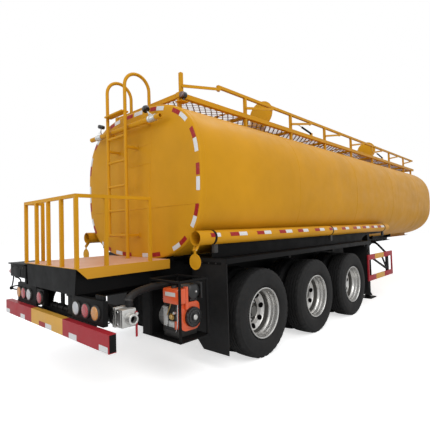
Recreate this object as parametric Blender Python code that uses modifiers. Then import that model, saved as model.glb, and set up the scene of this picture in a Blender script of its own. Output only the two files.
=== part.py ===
"""Water tank semi-trailer: three axles, a yellow tank, a rear platform and a folding handrail.

Metres, +X forward, +Y left, +Z up. The sub-parts are laid out from the rear axle, and one empty
moves them so that the origin lies under the middle of the whole length, on the floor.
"""

import math

import bmesh
import bpy
from mathutils import Matrix, Vector

# Fits
GAP = 0.0003
MOVING_GAP = 0.005
LAP = 0.004
OVERRUN = 0.05
WELD_DISTANCE = 0.00001
SHARP_ANGLE = math.radians(35)

# Wheels and axles
AXLE_COUNT = 3
AXLE_SPACING = 1.31
WHEEL_FACETS = 20
TYRE_RADIUS = 0.537
TYRE_WIDTH = 0.30
TWIN_GAP = 0.045
WIDTH_OVER_TYRES = 2.49
RIM_RADIUS = 0.30
RIM_WELL_RADIUS = 0.275
RIM_LIP_HEIGHT = 0.03
DISC_HALF_THICKNESS = 0.03
DISH_RADIUS = 0.22
HUB_RADIUS = 0.085
HUB_REACH = 0.15
DRUM_RADIUS = 0.205
DRUM_REACH = 0.27
SPINDLE_RADIUS = 0.045
SPINDLE_CLEARANCE = 0.001
SPINDLE_FACETS = 16
AXLE_BEAM_SIZE = 0.127
AXLE_BEAM_CLEARANCE = 0.05
SHIELD_RADIUS = 0.19
SHIELD_THICKNESS = 0.006
SPRING_SEAT_HEIGHT = 0.02
SPRING_SEAT_LENGTH = 0.20
# Each pair is a height share from the rim to the tread and a width share across one tyre
TYRE_SECTION_SHARES = ((0.0, 0.42), (0.5, 0.5), (0.9, 0.44), (1.0, 0.33),
                       (1.0, -0.33), (0.9, -0.44), (0.5, -0.5), (0.1, -0.46))

# Chassis frame
FRAME_TOP_Z = 1.195
FRAME_DEPTH = 0.27
NECK_DEPTH = 0.085
FLANGE_WIDTH = 0.14
FLANGE_THICKNESS = 0.012
WEB_THICKNESS = 0.012
FRAME_REAR_X = -1.98
FRAME_DEEP_END_X = 4.95
FRAME_NECK_START_X = 5.65
FRAME_FRONT_X = 6.75
CROSS_MEMBER_XS = (-1.85, -0.655, 0.655, 1.965, 3.275, 4.9)
CROSS_MEMBER_WIDTH = 0.08
CROSS_MEMBER_HEIGHT = 0.15
SADDLE_XS = (-0.9, 0.35, 1.6, 2.85, 4.1, 5.35, 6.6)
SADDLE_THICKNESS = 0.02
SADDLE_HALF_WIDTH = 0.6
BUMPER_POST_INSET = 0.055
BUMPER_POST_SIZE = 0.06
POST_TIE_BOTTOM_Z = 0.69
POST_TIE_TOP_Z = 0.77
FILLER_WIDTH = 0.06
FILLER_REAR_X = -0.95
FILLER_FRONT_X = 6.7

# Suspension
SPRING_LENGTH = 1.16
SPRING_WIDTH = 0.09
SPRING_TYRE_CLEARANCE = 0.095
SPRING_CAMBER = 0.07
LEAF_THICKNESS = 0.024
LEAF_LENGTH_SHARES = (1.0, 0.78, 0.5)
SPRING_CURVE_STEPS = 6
HANGER_LENGTH = 0.17
HANGER_WIDTH = 0.11
HANGER_DROP = 0.2
HANGER_RAIL_THICKNESS = 0.012
HANGER_RAIL_OVERHANG = 0.12

# Tank
TANK_REAR_X = -0.97
TANK_BARREL_FRONT_X = 8.22
TANK_HALF_WIDTH = 1.19
TANK_HALF_HEIGHT = 0.93
TANK_CENTRE_Z = 2.15
TANK_ROUNDNESS = 2.8
TANK_SECTION_FACETS = 48
REAR_HEAD_DEPTH = 0.03
FRONT_HEAD_DEPTH = 0.47
# Each pair is a share of a head's depth and the size share of the section there
REAR_HEAD_SHARES = ((0.0, 1.0), (0.35, 0.985), (0.8, 0.6), (1.0, 0.25))
FRONT_HEAD_SHARES = ((0.0, 1.0), (0.3, 0.975), (0.62, 0.88), (0.85, 0.68), (0.96, 0.4), (1.0, 0.15))
MANHOLE_XS = (1.42, 6.42)
NECK_RADIUS = 0.235
NECK_BORE_RADIUS = 0.215
NECK_TOP_Z = 3.30
NECK_FLANGE_RADIUS = 0.262
NECK_FLANGE_THICKNESS = 0.025
NECK_FOOT_Z = 3.02
NECK_FACETS = 24

# Manhole lids
LID_RADIUS = 0.252
LID_THICKNESS = 0.012
LID_DOME_HEIGHT = 0.03
LID_DOME_FOOT_SHARE = 0.8
LID_DOME_TOP_SHARE = 0.45
LID_TONGUE_START_SHARE = 0.7
LID_HINGE_REACH = 0.30
LID_OPEN_ANGLE = math.radians(97)
LID_TONGUE_WIDTH = 0.05
LID_KNUCKLE_RADIUS = 0.016
LID_PIN_RADIUS = 0.007
LID_EAR_THICKNESS = 0.012
LID_HINGE_RISE = 0.012

# Walkway
KERB_Y = 0.663
KERB_SIZE = 0.06
KERB_TOP_Z = 3.19
WALKWAY_REAR_X = -0.83
WALKWAY_FRONT_OVERHANG = 0.92
WALKWAY_BAY = 1.22
WALKWAY_BAR_SIZE = 0.04
WALKWAY_LEG_SIZE = 0.04
WALKWAY_LEG_SINK = 0.06
GRATING_THICKNESS = 0.02
GRATING_BAR_WIDTH = 0.012
GRATING_ROWS = 4
GRATING_BAY_LENGTH = 0.6
HATCH_MARGIN = 0.05

# Folding handrail
POST_COUNT = 8
FIRST_POST_X = -0.77
POST_SIZE = 0.04
RAIL_SIZE = 0.04
RAIL_CENTRE_Z = 3.44
RAIL_REAR_X = -0.127
RAIL_FRONT_INSET = 0.02
ARM_PIVOT_RISE = 0.083
ARM_LENGTH = 0.67
ARM_REST_ANGLE = math.radians(11)
ARM_WIDTH = 0.035
ARM_THICKNESS = 0.014
ARM_BOSS_RADIUS = 0.013
BOSS_FACETS = 8
LINK_ROUND_STEPS = 4
LUG_WIDTH = 0.04
LUG_THICKNESS = 0.02

# Handrail cylinders
CYLINDER_POSTS = (2, 5)
CYLINDER_ARM_REACH = 0.24
CYLINDER_FOOT_REACH = 0.70
CYLINDER_FOOT_RISE = 0.045
BARREL_RADIUS = 0.017
BARREL_BORE_RADIUS = 0.0095
BARREL_LENGTH = 0.33
ROD_RADIUS = 0.008
EYE_RADIUS = 0.015
EYE_THICKNESS = 0.018
EYE_NECK_SHARE = 0.4
FOOT_PIN_RADIUS = 0.004
FOOT_THICKNESS = 0.012
CYLINDER_FACETS = 12

# Ladder
LADDER_X = -1.165
LADDER_RIGHT_Y = -0.07
LADDER_LEFT_Y = 0.335
STILE_RADIUS = 0.021
RUNG_RADIUS = 0.016
RUNG_FIRST_Z = 1.517
RUNG_SPACING = 0.3075
RUNG_COUNT = 5
LADDER_STEP_Z = 3.039
LADDER_STEP_DEPTH = 0.10
LADDER_STEP_THICKNESS = 0.02
HOOP_TOP_Z = 3.54
HOOP_ROUND_POINTS = 9
STAND_OFF_SIZE = 0.03
STAND_OFF_ZS = (1.517, 2.6)

# Spray pipe
SPRAY_X = -1.105
SPRAY_Z = 2.855
SPRAY_CENTRE_Y = 0.095
SPRAY_RADIUS = 0.03
SPRAY_BORE_RADIUS = 0.024
SPRAY_HALF_LENGTH = 0.775
SPRAY_BRACKET_YS = (-0.35, 0.45)
VALVE_YS = (-0.532, 0.653)
VALVE_KNOB_SHIFTS = (0.12, -0.05)
VALVE_BODY_RADIUS = 0.042
VALVE_BODY_LENGTH = 0.13
VALVE_STEM_RADIUS = 0.016
VALVE_KNOB_RISE = 0.135
KNOB_RADIUS = 0.047
KNOB_LENGTH = 0.05

# Rear platform
DECK_REAR_X = -2.09
DECK_FRONT_X = -0.985
DECK_HALF_WIDTH = 0.64
DECK_TOP_Z = 1.24
DECK_PLATE_THICKNESS = 0.005
FASCIA_HEIGHT = 0.105
FASCIA_THICKNESS = 0.006
FASCIA_CUT_LENGTH = 0.11
DECK_RIB_COUNT = 4
DECK_RIB_WIDTH = 0.04
PANEL_THICKNESS = 0.008
PANEL_REAR_X = -2.075
PANEL_FRONT_X = -1.2
PANEL_BOTTOM_Z = 0.985
PANEL_TOP_HALF_WIDTH = 0.61
PANEL_BOTTOM_HALF_WIDTH = 0.575
GUARD_TOP_Z = 1.935
GUARD_TUBE_SIZE = 0.034
GUARD_LEFT_FRONT_X = -1.887
GUARD_RIGHT_FRONT_X = -1.244
GUARD_RIGHT_POST_X = -1.769
GUARD_REAR_POST_COUNT = 5

# Rear bumper and lamps
BUMPER_REAR_X = -2.11
BUMPER_INSET = 0.02
BUMPER_BOTTOM_Z = 0.597
BUMPER_HEIGHT = 0.155
BUMPER_DEPTH = 0.07
BUMPER_WALL = 0.006
LAMP_BOX_REAR_X = -2.04
LAMP_BOX_DEPTH = 0.05
LAMP_BOX_INSET = 0.205
LAMP_BOX_BOTTOM_Z = 0.758
LAMP_BOX_HEIGHT = 0.222
LAMP_RADIUS = 0.068
LAMP_HEIGHT = 0.015
LAMP_Z = 0.862
LEFT_LAMP_INSETS = (0.388, 0.224, 0.075)
RIGHT_LAMP_INSETS = (0.482, 0.301, 0.128)
FOG_LAMP_Y = 0.325
FOG_BOX_INNER_Y = 0.235
FOG_BOX_BOTTOM_Z = 0.785
FOG_BOX_TOP_Z = 0.955

# Hose tubes and their caps
HOSE_TUBE_INSET = 0.038
HOSE_TUBE_Z = 1.479
HOSE_TUBE_RADIUS = 0.077
HOSE_TUBE_BORE_RADIUS = 0.073
HOSE_TUBE_REAR_X = -1.064
HOSE_TUBE_FRONT_X = 4.62
HOSE_TUBE_FACETS = 20
HOSE_BRACKET_XS = (0.1, 2.25, 4.3)
HOSE_BRACKET_WIDTH = 0.05
HOSE_BRACKET_HEIGHT = 0.06
HOSE_BRACKET_START_SHARE = 0.7
CAP_RADIUS = 0.082
CAP_THICKNESS = 0.008
CAP_HINGE_REACH = 0.12
CAP_KNUCKLE_RADIUS = 0.010
CAP_PIN_RADIUS = 0.005
CAP_TONGUE_WIDTH = 0.03
CAP_EAR_THICKNESS = 0.008
CAP_EAR_LENGTH = 0.04

# Fenders
FENDER_REAR_X = -0.70
FENDER_FRONT_X = 3.36
FENDER_INNER_Y = 0.63
FENDER_OUTER_Y = 1.245
FENDER_TOP_Z = 1.245
FENDER_THICKNESS = 0.005
FENDER_LIP_HEIGHT = 0.06
FLAP_THICKNESS = 0.01
FLAP_BOTTOM_Z = 0.2
FLAP_INNER_Y = 0.70
FLAP_CUT = 0.16
FENDER_ARM_SIZE = 0.05
FENDER_ARM_XS = (-0.655, 0.655, 1.965, 3.275)

# Side guards
SIDE_GUARD_Y = 1.2
SIDE_GUARD_REAR_X = 3.42
SIDE_GUARD_FRONT_X = 4.79
SIDE_GUARD_BOTTOM_Z = 0.47
SIDE_GUARD_TOP_Z = 0.97
SIDE_GUARD_BAR_HEIGHT = 0.1
SIDE_GUARD_BAR_THICKNESS = 0.025
SIDE_GUARD_ARM_SIZE = 0.04
SIDE_GUARD_ARM_XS = (3.6, 4.55)
SIDE_GUARD_ARM_BEND_Y = 0.95
SIDE_GUARD_ARM_Z = 1.15
RESERVOIR_RADIUS = 0.085
RESERVOIR_INNER_Y = 0.72
RESERVOIR_OUTER_Y = 1.14

# Landing gear
LEG_X = 4.25
LEG_Y = 0.85
LEG_SIZE = 0.11
LEG_INNER_SIZE = 0.09
LEG_SLEEVE_BOTTOM_Z = 0.36
LEG_TOP_Z = 1.45
FOOT_LENGTH = 0.30
FOOT_WIDTH = 0.24
FOOT_HEIGHT = 0.02
LEG_CROSS_SIZE = 0.06
LEG_CROSS_Z = 1.0
LEG_SHAFT_RADIUS = 0.018
LEG_SHAFT_Z = 0.72

# Kingpin plate
KINGPIN_X = 7.7
KINGPIN_RADIUS = 0.0254
KINGPIN_LENGTH = 0.084
COUPLER_REAR_X = 6.7503
COUPLER_FRONT_X = 8.3
COUPLER_HALF_WIDTH = 0.55
COUPLER_BOTTOM_Z = 1.185
COUPLER_THICKNESS = 0.012
COUPLER_RIB_THICKNESS = 0.016
COUPLER_RIB_TOP_Z = 1.4

# Pump set
PUMP_SET_REAR_X = -1.345
PUMP_SET_FRONT_X = -0.94
PUMP_SET_INNER_Y = 0.60
PUMP_SET_OUTER_Y = 1.21
CAGE_INNER_Y = 0.735
TRAY_Z = 0.48
TRAY_THICKNESS = 0.012
CAGE_TOP_Z = 1.075
CAGE_TUBE_RADIUS = 0.014
CAGE_TUBE_FACETS = 12
ENGINE_LOW = (-1.27, -1.13, 0.56)
ENGINE_HIGH = (-1.0, -0.86, 0.84)
STARTER_X = -1.112
STARTER_Z = 0.69
STARTER_RADIUS = 0.1
STARTER_REACH = 0.05
FUEL_TANK_LOW = (-1.33, -1.17)
FUEL_TANK_HIGH = (-1.222, -0.93, 1.015)
AIR_FILTER_LOW = (-1.18, -1.17)
AIR_FILTER_HIGH = (-0.985, -0.95, 1.035)
PUMP_RADIUS = 0.12
PUMP_LENGTH = 0.2
PUMP_X = -1.11
PUMP_Z = 0.66
PUMP_PORT_Y = -0.76
PUMP_PORT_RADIUS = 0.045
PUMP_PORT_TOP_Z = 0.84

# Discharge pipe, valve block and hose
PIPE_X = -1.78
PIPE_Z = 0.79
PIPE_RADIUS = 0.04
PIPE_INNER_Y = -0.28
PIPE_OUTER_Y = -0.86
PIPE_HANGER_SIZE = 0.03
VALVE_BLOCK_LOW = (-1.86, -1.02, 0.70)
VALVE_BLOCK_HIGH = (-1.70, 0.88)
OUTLET_RADIUS = 0.055
OUTLET_BORE_RADIUS = 0.038
OUTLET_LENGTH = 0.065
LEVER_X = -1.708
LEVER_WIDTH = 0.022
LEVER_THICKNESS = 0.008
LEVER_TOP_Z = 0.84
LEVER_BOTTOM_Z = 0.61
HOSE_RADIUS = 0.038
HOSE_POINTS = ((-1.11, -0.76, 0.915), (-1.15, -0.785, 0.965), (-1.23, -0.83, 0.99), (-1.32, -0.84, 1.0), (-1.42, -0.85, 1.0),
               (-1.6, -0.89, 0.985), (-1.72, -0.93, 0.945))

# Box beside the platform's left rear corner
BOX_REAR_X = -2.1
BOX_FRONT_X = -1.8
BOX_OUTER_Y = 1.17
BOX_BOTTOM_Z = 1.05
BOX_TOP_Z = 1.205
BOX_LID_THICKNESS = 0.012
BOX_LID_OVERHANG = 0.02
MARKER_X = -2.03
MARKER_Z = 1.1
MARKER_RADIUS = 0.032
MARKER_OUTER_Y = 1.24

# Where the whole length begins and ends
OVERALL_REAR_X = BUMPER_REAR_X
OVERALL_FRONT_X = TANK_BARREL_FRONT_X + FRONT_HEAD_DEPTH

# Derived sizes
AXLE_Z = TYRE_RADIUS * math.cos(math.pi / WHEEL_FACETS)
AXLE_XS = tuple(index * AXLE_SPACING for index in range(AXLE_COUNT))
TWIN_WIDTH = 2 * TYRE_WIDTH + TWIN_GAP
TWIN_Y = (WIDTH_OVER_TYRES - TWIN_WIDTH) / 2
FRAME_BOTTOM_Z = FRAME_TOP_Z - FRAME_DEPTH
FRAME_Y = WIDTH_OVER_TYRES / 2 - TWIN_WIDTH - SPRING_TYRE_CLEARANCE - SPRING_WIDTH / 2
BUMPER_POST_Y = FRAME_Y - BUMPER_POST_INSET
BUMPER_HALF_WIDTH = WIDTH_OVER_TYRES / 2 - BUMPER_INSET
LAMP_BOX_INNER_Y = BUMPER_POST_Y + BUMPER_POST_SIZE / 2 + MOVING_GAP + GAP
LAMP_BOX_OUTER_Y = BUMPER_HALF_WIDTH - LAMP_BOX_INSET
HOSE_TUBE_Y = TANK_HALF_WIDTH - HOSE_TUBE_INSET
WALKWAY_FRONT_X = FIRST_POST_X + (POST_COUNT - 1) * WALKWAY_BAY + WALKWAY_FRONT_OVERHANG
RAIL_FRONT_X = WALKWAY_FRONT_X - RAIL_FRONT_INSET
ARM_PIVOT_Z = KERB_TOP_Z + ARM_PIVOT_RISE
HALF_KERB = KERB_SIZE / 2
HATCH_HALF_SIZE = NECK_FLANGE_RADIUS + HATCH_MARGIN

# Paint colours as linear shares of red, green and blue
YELLOW_SHARES = (0.62, 0.31, 0.035)
PALE_YELLOW_SHARES = (0.72, 0.42, 0.12)
BLACK_SHARES = (0.018, 0.018, 0.019)
RUBBER_SHARES = (0.028, 0.028, 0.03)
RED_SHARES = (0.42, 0.035, 0.045)
ORANGE_SHARES = (0.75, 0.16, 0.045)
SILVER_SHARES = (0.55, 0.55, 0.53)

for old in list(bpy.data.objects):
    bpy.data.objects.remove(old, do_unlink=True)

PARTS = bpy.data.collections.new("water_tank_semi_trailer")
bpy.context.scene.collection.children.link(PARTS)
CUTTERS = bpy.data.collections.new("joined_and_cut_away")
bpy.context.scene.collection.children.link(CUTTERS)

TRAILER = bpy.data.objects.new("trailer", None)
TRAILER.location = (-(OVERALL_REAR_X + OVERALL_FRONT_X) / 2, 0, 0)
PARTS.objects.link(TRAILER)


def paint(name, colour_shares, roughness, metallic=0.0):
    """A material with one Principled shader."""
    material = bpy.data.materials.new(name)
    material.use_nodes = True
    shader = material.node_tree.nodes["Principled BSDF"]
    shader.inputs["Base Color"].default_value = (*colour_shares, 1.0)
    shader.inputs["Roughness"].default_value = roughness
    shader.inputs["Metallic"].default_value = metallic
    material.diffuse_color = (*colour_shares, 1.0)
    return material


YELLOW = paint("yellow_paint", YELLOW_SHARES, 0.35)
DECK_YELLOW = paint("pale_yellow_plate", PALE_YELLOW_SHARES, 0.5)
BLACK = paint("black_paint", BLACK_SHARES, 0.5)
RUBBER = paint("tyre_rubber", RUBBER_SHARES, 0.85)
RED = paint("red_paint", RED_SHARES, 0.45)
ORANGE = paint("orange_cover", ORANGE_SHARES, 0.4)
SILVER = paint("cast_metal", SILVER_SHARES, 0.4, 0.8)


def piece(mesh):
    """A loose solid, kept with the cutters until a node takes it."""
    solid = bpy.data.objects.new("piece", mesh)
    solid.hide_render = True
    solid.display_type = "WIRE"
    CUTTERS.objects.link(solid)
    return solid


def from_bmesh(form):
    """The mesh of a bmesh, with its faces pointing out."""
    bmesh.ops.recalc_face_normals(form, faces=form.faces)
    mesh = bpy.data.meshes.new("piece")
    form.to_mesh(mesh)
    form.free()
    return piece(mesh)


def block(low, high):
    """A box between two corners."""
    form = bmesh.new()
    bmesh.ops.create_cube(form, size=1.0)
    size = [far - near for near, far in zip(low, high)]
    middle = [(near + far) / 2 for near, far in zip(low, high)]
    bmesh.ops.scale(form, vec=size, verts=form.verts)
    bmesh.ops.translate(form, vec=middle, verts=form.verts)
    return from_bmesh(form)


def aim(start, end):
    """The matrix that stands local Z along a line, at its middle."""
    along = Vector(end) - Vector(start)
    turn = Vector((0, 0, 1)).rotation_difference(along).to_matrix().to_4x4()
    return Matrix.Translation((Vector(start) + Vector(end)) / 2) @ turn, along.length


def rod(start, end, radius, facets=12, end_radius=None):
    """A round bar or a cone between two points."""
    matrix, length = aim(start, end)
    form = bmesh.new()
    far_radius = radius if end_radius is None else end_radius
    bmesh.ops.create_cone(form, cap_ends=True, segments=facets, radius1=radius, radius2=far_radius,
                          depth=length)
    bmesh.ops.transform(form, matrix=matrix, verts=form.verts)
    return from_bmesh(form)


def strut(start, end, width, depth):
    """A square bar between two points."""
    matrix, length = aim(start, end)
    form = bmesh.new()
    bmesh.ops.create_cube(form, size=1.0)
    bmesh.ops.scale(form, vec=(width, depth, length), verts=form.verts)
    bmesh.ops.transform(form, matrix=matrix, verts=form.verts)
    return from_bmesh(form)


def as_mesh(source):
    """The evaluated mesh of an object, welded, with the source removed."""
    bpy.context.view_layer.update()
    graph = bpy.context.evaluated_depsgraph_get()
    mesh = bpy.data.meshes.new_from_object(source.evaluated_get(graph))
    form = bmesh.new()
    form.from_mesh(mesh)
    bmesh.ops.remove_doubles(form, verts=form.verts, dist=WELD_DISTANCE)
    bmesh.ops.transform(form, matrix=source.matrix_world, verts=form.verts)
    bpy.data.objects.remove(source, do_unlink=True)
    bpy.data.meshes.remove(mesh)
    return from_bmesh(form)


def pipe(points, radius, sides_level=2):
    """A tube along a polyline."""
    curve = bpy.data.curves.new("pipe", "CURVE")
    curve.dimensions = "3D"
    curve.bevel_depth = radius
    curve.bevel_resolution = sides_level
    curve.use_fill_caps = True
    spline = curve.splines.new("POLY")
    spline.points.add(len(points) - 1)
    for slot, point in zip(spline.points, points):
        slot.co = (*point, 1.0)
    source = bpy.data.objects.new("pipe", curve)
    CUTTERS.objects.link(source)
    return as_mesh(source)


def plate(outline, thickness, axis, start):
    """A flat outline, given in the two other axes, thickened along one axis from a start value.

    The outline's pairs are (y, z) for axis X, (x, z) for axis Y and (x, y) for axis Z.
    """
    curve = bpy.data.curves.new("plate", "CURVE")
    curve.dimensions = "2D"
    curve.fill_mode = "BOTH"
    curve.extrude = thickness / 2
    spline = curve.splines.new("POLY")
    spline.points.add(len(outline) - 1)
    for slot, pair in zip(spline.points, outline):
        slot.co = (*pair, 0.0, 1.0)
    spline.use_cyclic_u = True
    source = bpy.data.objects.new("plate", curve)
    middle = start + thickness / 2
    if axis == "X":
        source.matrix_world = Matrix(((0, 0, 1, middle), (1, 0, 0, 0), (0, 1, 0, 0), (0, 0, 0, 1)))
    elif axis == "Y":
        source.matrix_world = Matrix(((1, 0, 0, 0), (0, 0, -1, middle), (0, 1, 0, 0), (0, 0, 0, 1)))
    else:
        source.matrix_world = Matrix.Translation((0, 0, middle))
    CUTTERS.objects.link(source)
    return as_mesh(source)


def turned(profile, facets, start, direction):
    """A profile of (radius, height) pairs turned about a line, its first pair at the top."""
    half_step = math.pi / facets
    mesh = bpy.data.meshes.new("turned")
    points = [(radius * math.cos(half_step), radius * math.sin(half_step), height)
              for radius, height in profile]
    edges = [(index, index + 1) for index in range(len(points) - 1)]
    mesh.from_pydata(points, edges, [])
    source = bpy.data.objects.new("turned", mesh)
    screw = source.modifiers.new("Turn", "SCREW")
    screw.steps = facets
    screw.render_steps = facets
    screw.use_merge_vertices = True
    screw.merge_threshold = WELD_DISTANCE
    turn = Vector((0, 0, 1)).rotation_difference(Vector(direction)).to_matrix().to_4x4()
    source.matrix_world = Matrix.Translation(start) @ turn
    CUTTERS.objects.link(source)
    return as_mesh(source)


def superellipse(half_width, half_height, centre_z):
    """The tank's section as (y, z) pairs."""
    pairs = []
    for index in range(TANK_SECTION_FACETS):
        angle = 2 * math.pi * (index + 0.5) / TANK_SECTION_FACETS
        power = 2 / TANK_ROUNDNESS
        across = math.copysign(abs(math.cos(angle)) ** power, math.cos(angle))
        up = math.copysign(abs(math.sin(angle)) ** power, math.sin(angle))
        pairs.append((half_width * across, centre_z + half_height * up))
    return pairs


def tank_body(clearance):
    """The barrel and both heads lofted through superelliptic sections, grown by a clearance."""
    stations = []
    for depth_share, size_share in reversed(REAR_HEAD_SHARES):
        stations.append((TANK_REAR_X - depth_share * REAR_HEAD_DEPTH - clearance, size_share))
    for depth_share, size_share in FRONT_HEAD_SHARES:
        stations.append((TANK_BARREL_FRONT_X + depth_share * FRONT_HEAD_DEPTH + clearance, size_share))
    form = bmesh.new()
    rings = []
    for x, size_share in stations:
        section = superellipse(TANK_HALF_WIDTH * size_share + clearance,
                               TANK_HALF_HEIGHT * size_share + clearance, TANK_CENTRE_Z)
        rings.append([form.verts.new((x, y, z)) for y, z in section])
    for near, far in zip(rings, rings[1:]):
        for index in range(TANK_SECTION_FACETS):
            after = (index + 1) % TANK_SECTION_FACETS
            form.faces.new((near[index], near[after], far[after], far[index]))
    form.faces.new(rings[0])
    form.faces.new(rings[-1])
    return from_bmesh(form)


def stack(base, operation, others):
    """Adds one Boolean modifier for each other piece."""
    for other in others:
        step = base.modifiers.new(operation.title(), "BOOLEAN")
        step.operation = operation
        step.solver = "EXACT"
        step.object = other


def combine(pieces, cuts=()):
    """One solid from pieces that touch, less the cuts."""
    base = pieces[0]
    stack(base, "UNION", pieces[1:])
    stack(base, "DIFFERENCE", cuts)
    solid = as_mesh(base)
    for used in [*pieces[1:], *cuts]:
        bpy.data.objects.remove(used, do_unlink=True)
    return solid


def shape(pieces, material, cuts=(), pivot=(0, 0, 0)):
    """The mesh of a sub-part with its pivot at the mesh's origin."""
    solid = combine(pieces, cuts) if len(pieces) > 1 or cuts else pieces[0]
    mesh = solid.data
    mesh.transform(Matrix.Translation(-Vector(pivot)))
    bpy.data.objects.remove(solid, do_unlink=True)
    mesh.materials.append(material)
    mesh.shade_smooth()
    mesh.set_sharp_from_angle(angle=SHARP_ANGLE)
    return mesh


def place(name, mesh, pivot=(0, 0, 0)):
    """A named object that shows a mesh at its pivot."""
    part = bpy.data.objects.new(name, mesh)
    part.parent = TRAILER
    part.location = pivot
    PARTS.objects.link(part)
    return part


def node(name, pieces, material, cuts=(), pivot=(0, 0, 0)):
    """A named sub-part that occurs once."""
    return place(name, shape(pieces, material, cuts, pivot), pivot)


def mirrored(pairs, side):
    """An outline's (across, up) pairs on the left side, side 1, or the right side, side -1."""
    return [(side * across, up) for across, up in pairs]


def span(side, near, far):
    """Two Y values in rising order on one side of the trailer."""
    return (near, far) if side > 0 else (-far, -near)


def build_tank():
    """The closed tank body."""
    node("tank", [tank_body(0)], YELLOW)


def build_necks(clearance_of_tank):
    """Two flanged manhole necks on the tank's crown, each with the ears and the pin of its lid."""
    x = MANHOLE_XS[0]
    head = (x, 0, NECK_TOP_Z)
    flange_foot_z = NECK_TOP_Z - NECK_FLANGE_THICKNESS
    pieces = [
        rod((x, 0, NECK_FOOT_Z), (x, 0, NECK_TOP_Z - LAP), NECK_RADIUS, NECK_FACETS),
        rod((x, 0, flange_foot_z), head, NECK_FLANGE_RADIUS, NECK_FACETS),
    ]
    hinge_x = x + LID_HINGE_REACH
    hinge_z = NECK_TOP_Z + LID_HINGE_RISE
    inner = LID_TONGUE_WIDTH / 2 + GAP
    for side in (-1, 1):
        low_y, high_y = span(side, inner, inner + LID_EAR_THICKNESS)
        pieces.append(block((x + NECK_FLANGE_RADIUS - LAP, low_y, flange_foot_z - LAP),
                            (hinge_x + LID_KNUCKLE_RADIUS, high_y, hinge_z + LID_KNUCKLE_RADIUS)))
    pin_end = inner + LID_EAR_THICKNESS + LAP
    pieces.append(rod((hinge_x, -pin_end, hinge_z), (hinge_x, pin_end, hinge_z), LID_PIN_RADIUS, CYLINDER_FACETS))
    bore = rod((x, 0, NECK_FOOT_Z - OVERRUN), (x, 0, NECK_TOP_Z + OVERRUN), NECK_BORE_RADIUS, NECK_FACETS)
    mesh = shape(pieces, YELLOW, [bore, clearance_of_tank], head)
    for index, neck_x in enumerate(MANHOLE_XS, start=1):
        place(f"manhole_neck_{index}", mesh, (neck_x, 0, NECK_TOP_Z))


def build_lids():
    """Two domed manhole lids, each standing open on its hinge."""
    reach = LID_HINGE_REACH
    rise = MOVING_GAP - LID_HINGE_RISE
    top = rise + LID_THICKNESS
    half_tongue = LID_TONGUE_WIDTH / 2
    pieces = [
        rod((-reach, 0, rise), (-reach, 0, top), LID_RADIUS, NECK_FACETS),
        rod((-reach, 0, top - LAP), (-reach, 0, top + LID_DOME_HEIGHT), LID_RADIUS * LID_DOME_FOOT_SHARE,
            NECK_FACETS, LID_RADIUS * LID_DOME_TOP_SHARE),
        block((LID_RADIUS * LID_TONGUE_START_SHARE - reach, -half_tongue, rise + GAP), (0, half_tongue, top + LAP)),
        rod((0, -half_tongue, 0), (0, half_tongue, 0), LID_KNUCKLE_RADIUS, CYLINDER_FACETS),
    ]
    bore = rod((0, -LID_TONGUE_WIDTH, 0), (0, LID_TONGUE_WIDTH, 0), LID_PIN_RADIUS + 2 * GAP, CYLINDER_FACETS)
    mesh = shape(pieces, YELLOW, [bore])
    mesh.transform(Matrix.Rotation(LID_OPEN_ANGLE, 4, "Y"))
    for index, neck_x in enumerate(MANHOLE_XS, start=1):
        place(f"manhole_lid_{index}", mesh, (neck_x + LID_HINGE_REACH, 0, NECK_TOP_Z + LID_HINGE_RISE))


def beam_outline(bottom_offset):
    """The side view of a main beam, deep behind and shallow in front, its bottom raised by an offset."""
    deep = FRAME_BOTTOM_Z + bottom_offset
    shallow = FRAME_TOP_Z - NECK_DEPTH + bottom_offset
    points = [(FRAME_REAR_X, FRAME_TOP_Z), (FRAME_REAR_X, deep)]
    turn_count = 6
    for index in range(turn_count + 1):
        share = index / turn_count
        x = FRAME_DEEP_END_X + share * (FRAME_NECK_START_X - FRAME_DEEP_END_X)
        blend = (1 - math.cos(share * math.pi)) / 2
        points.append((x, deep + blend * (shallow - deep)))
    points += [(FRAME_FRONT_X, shallow), (FRAME_FRONT_X, FRAME_TOP_Z)]
    return points


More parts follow.
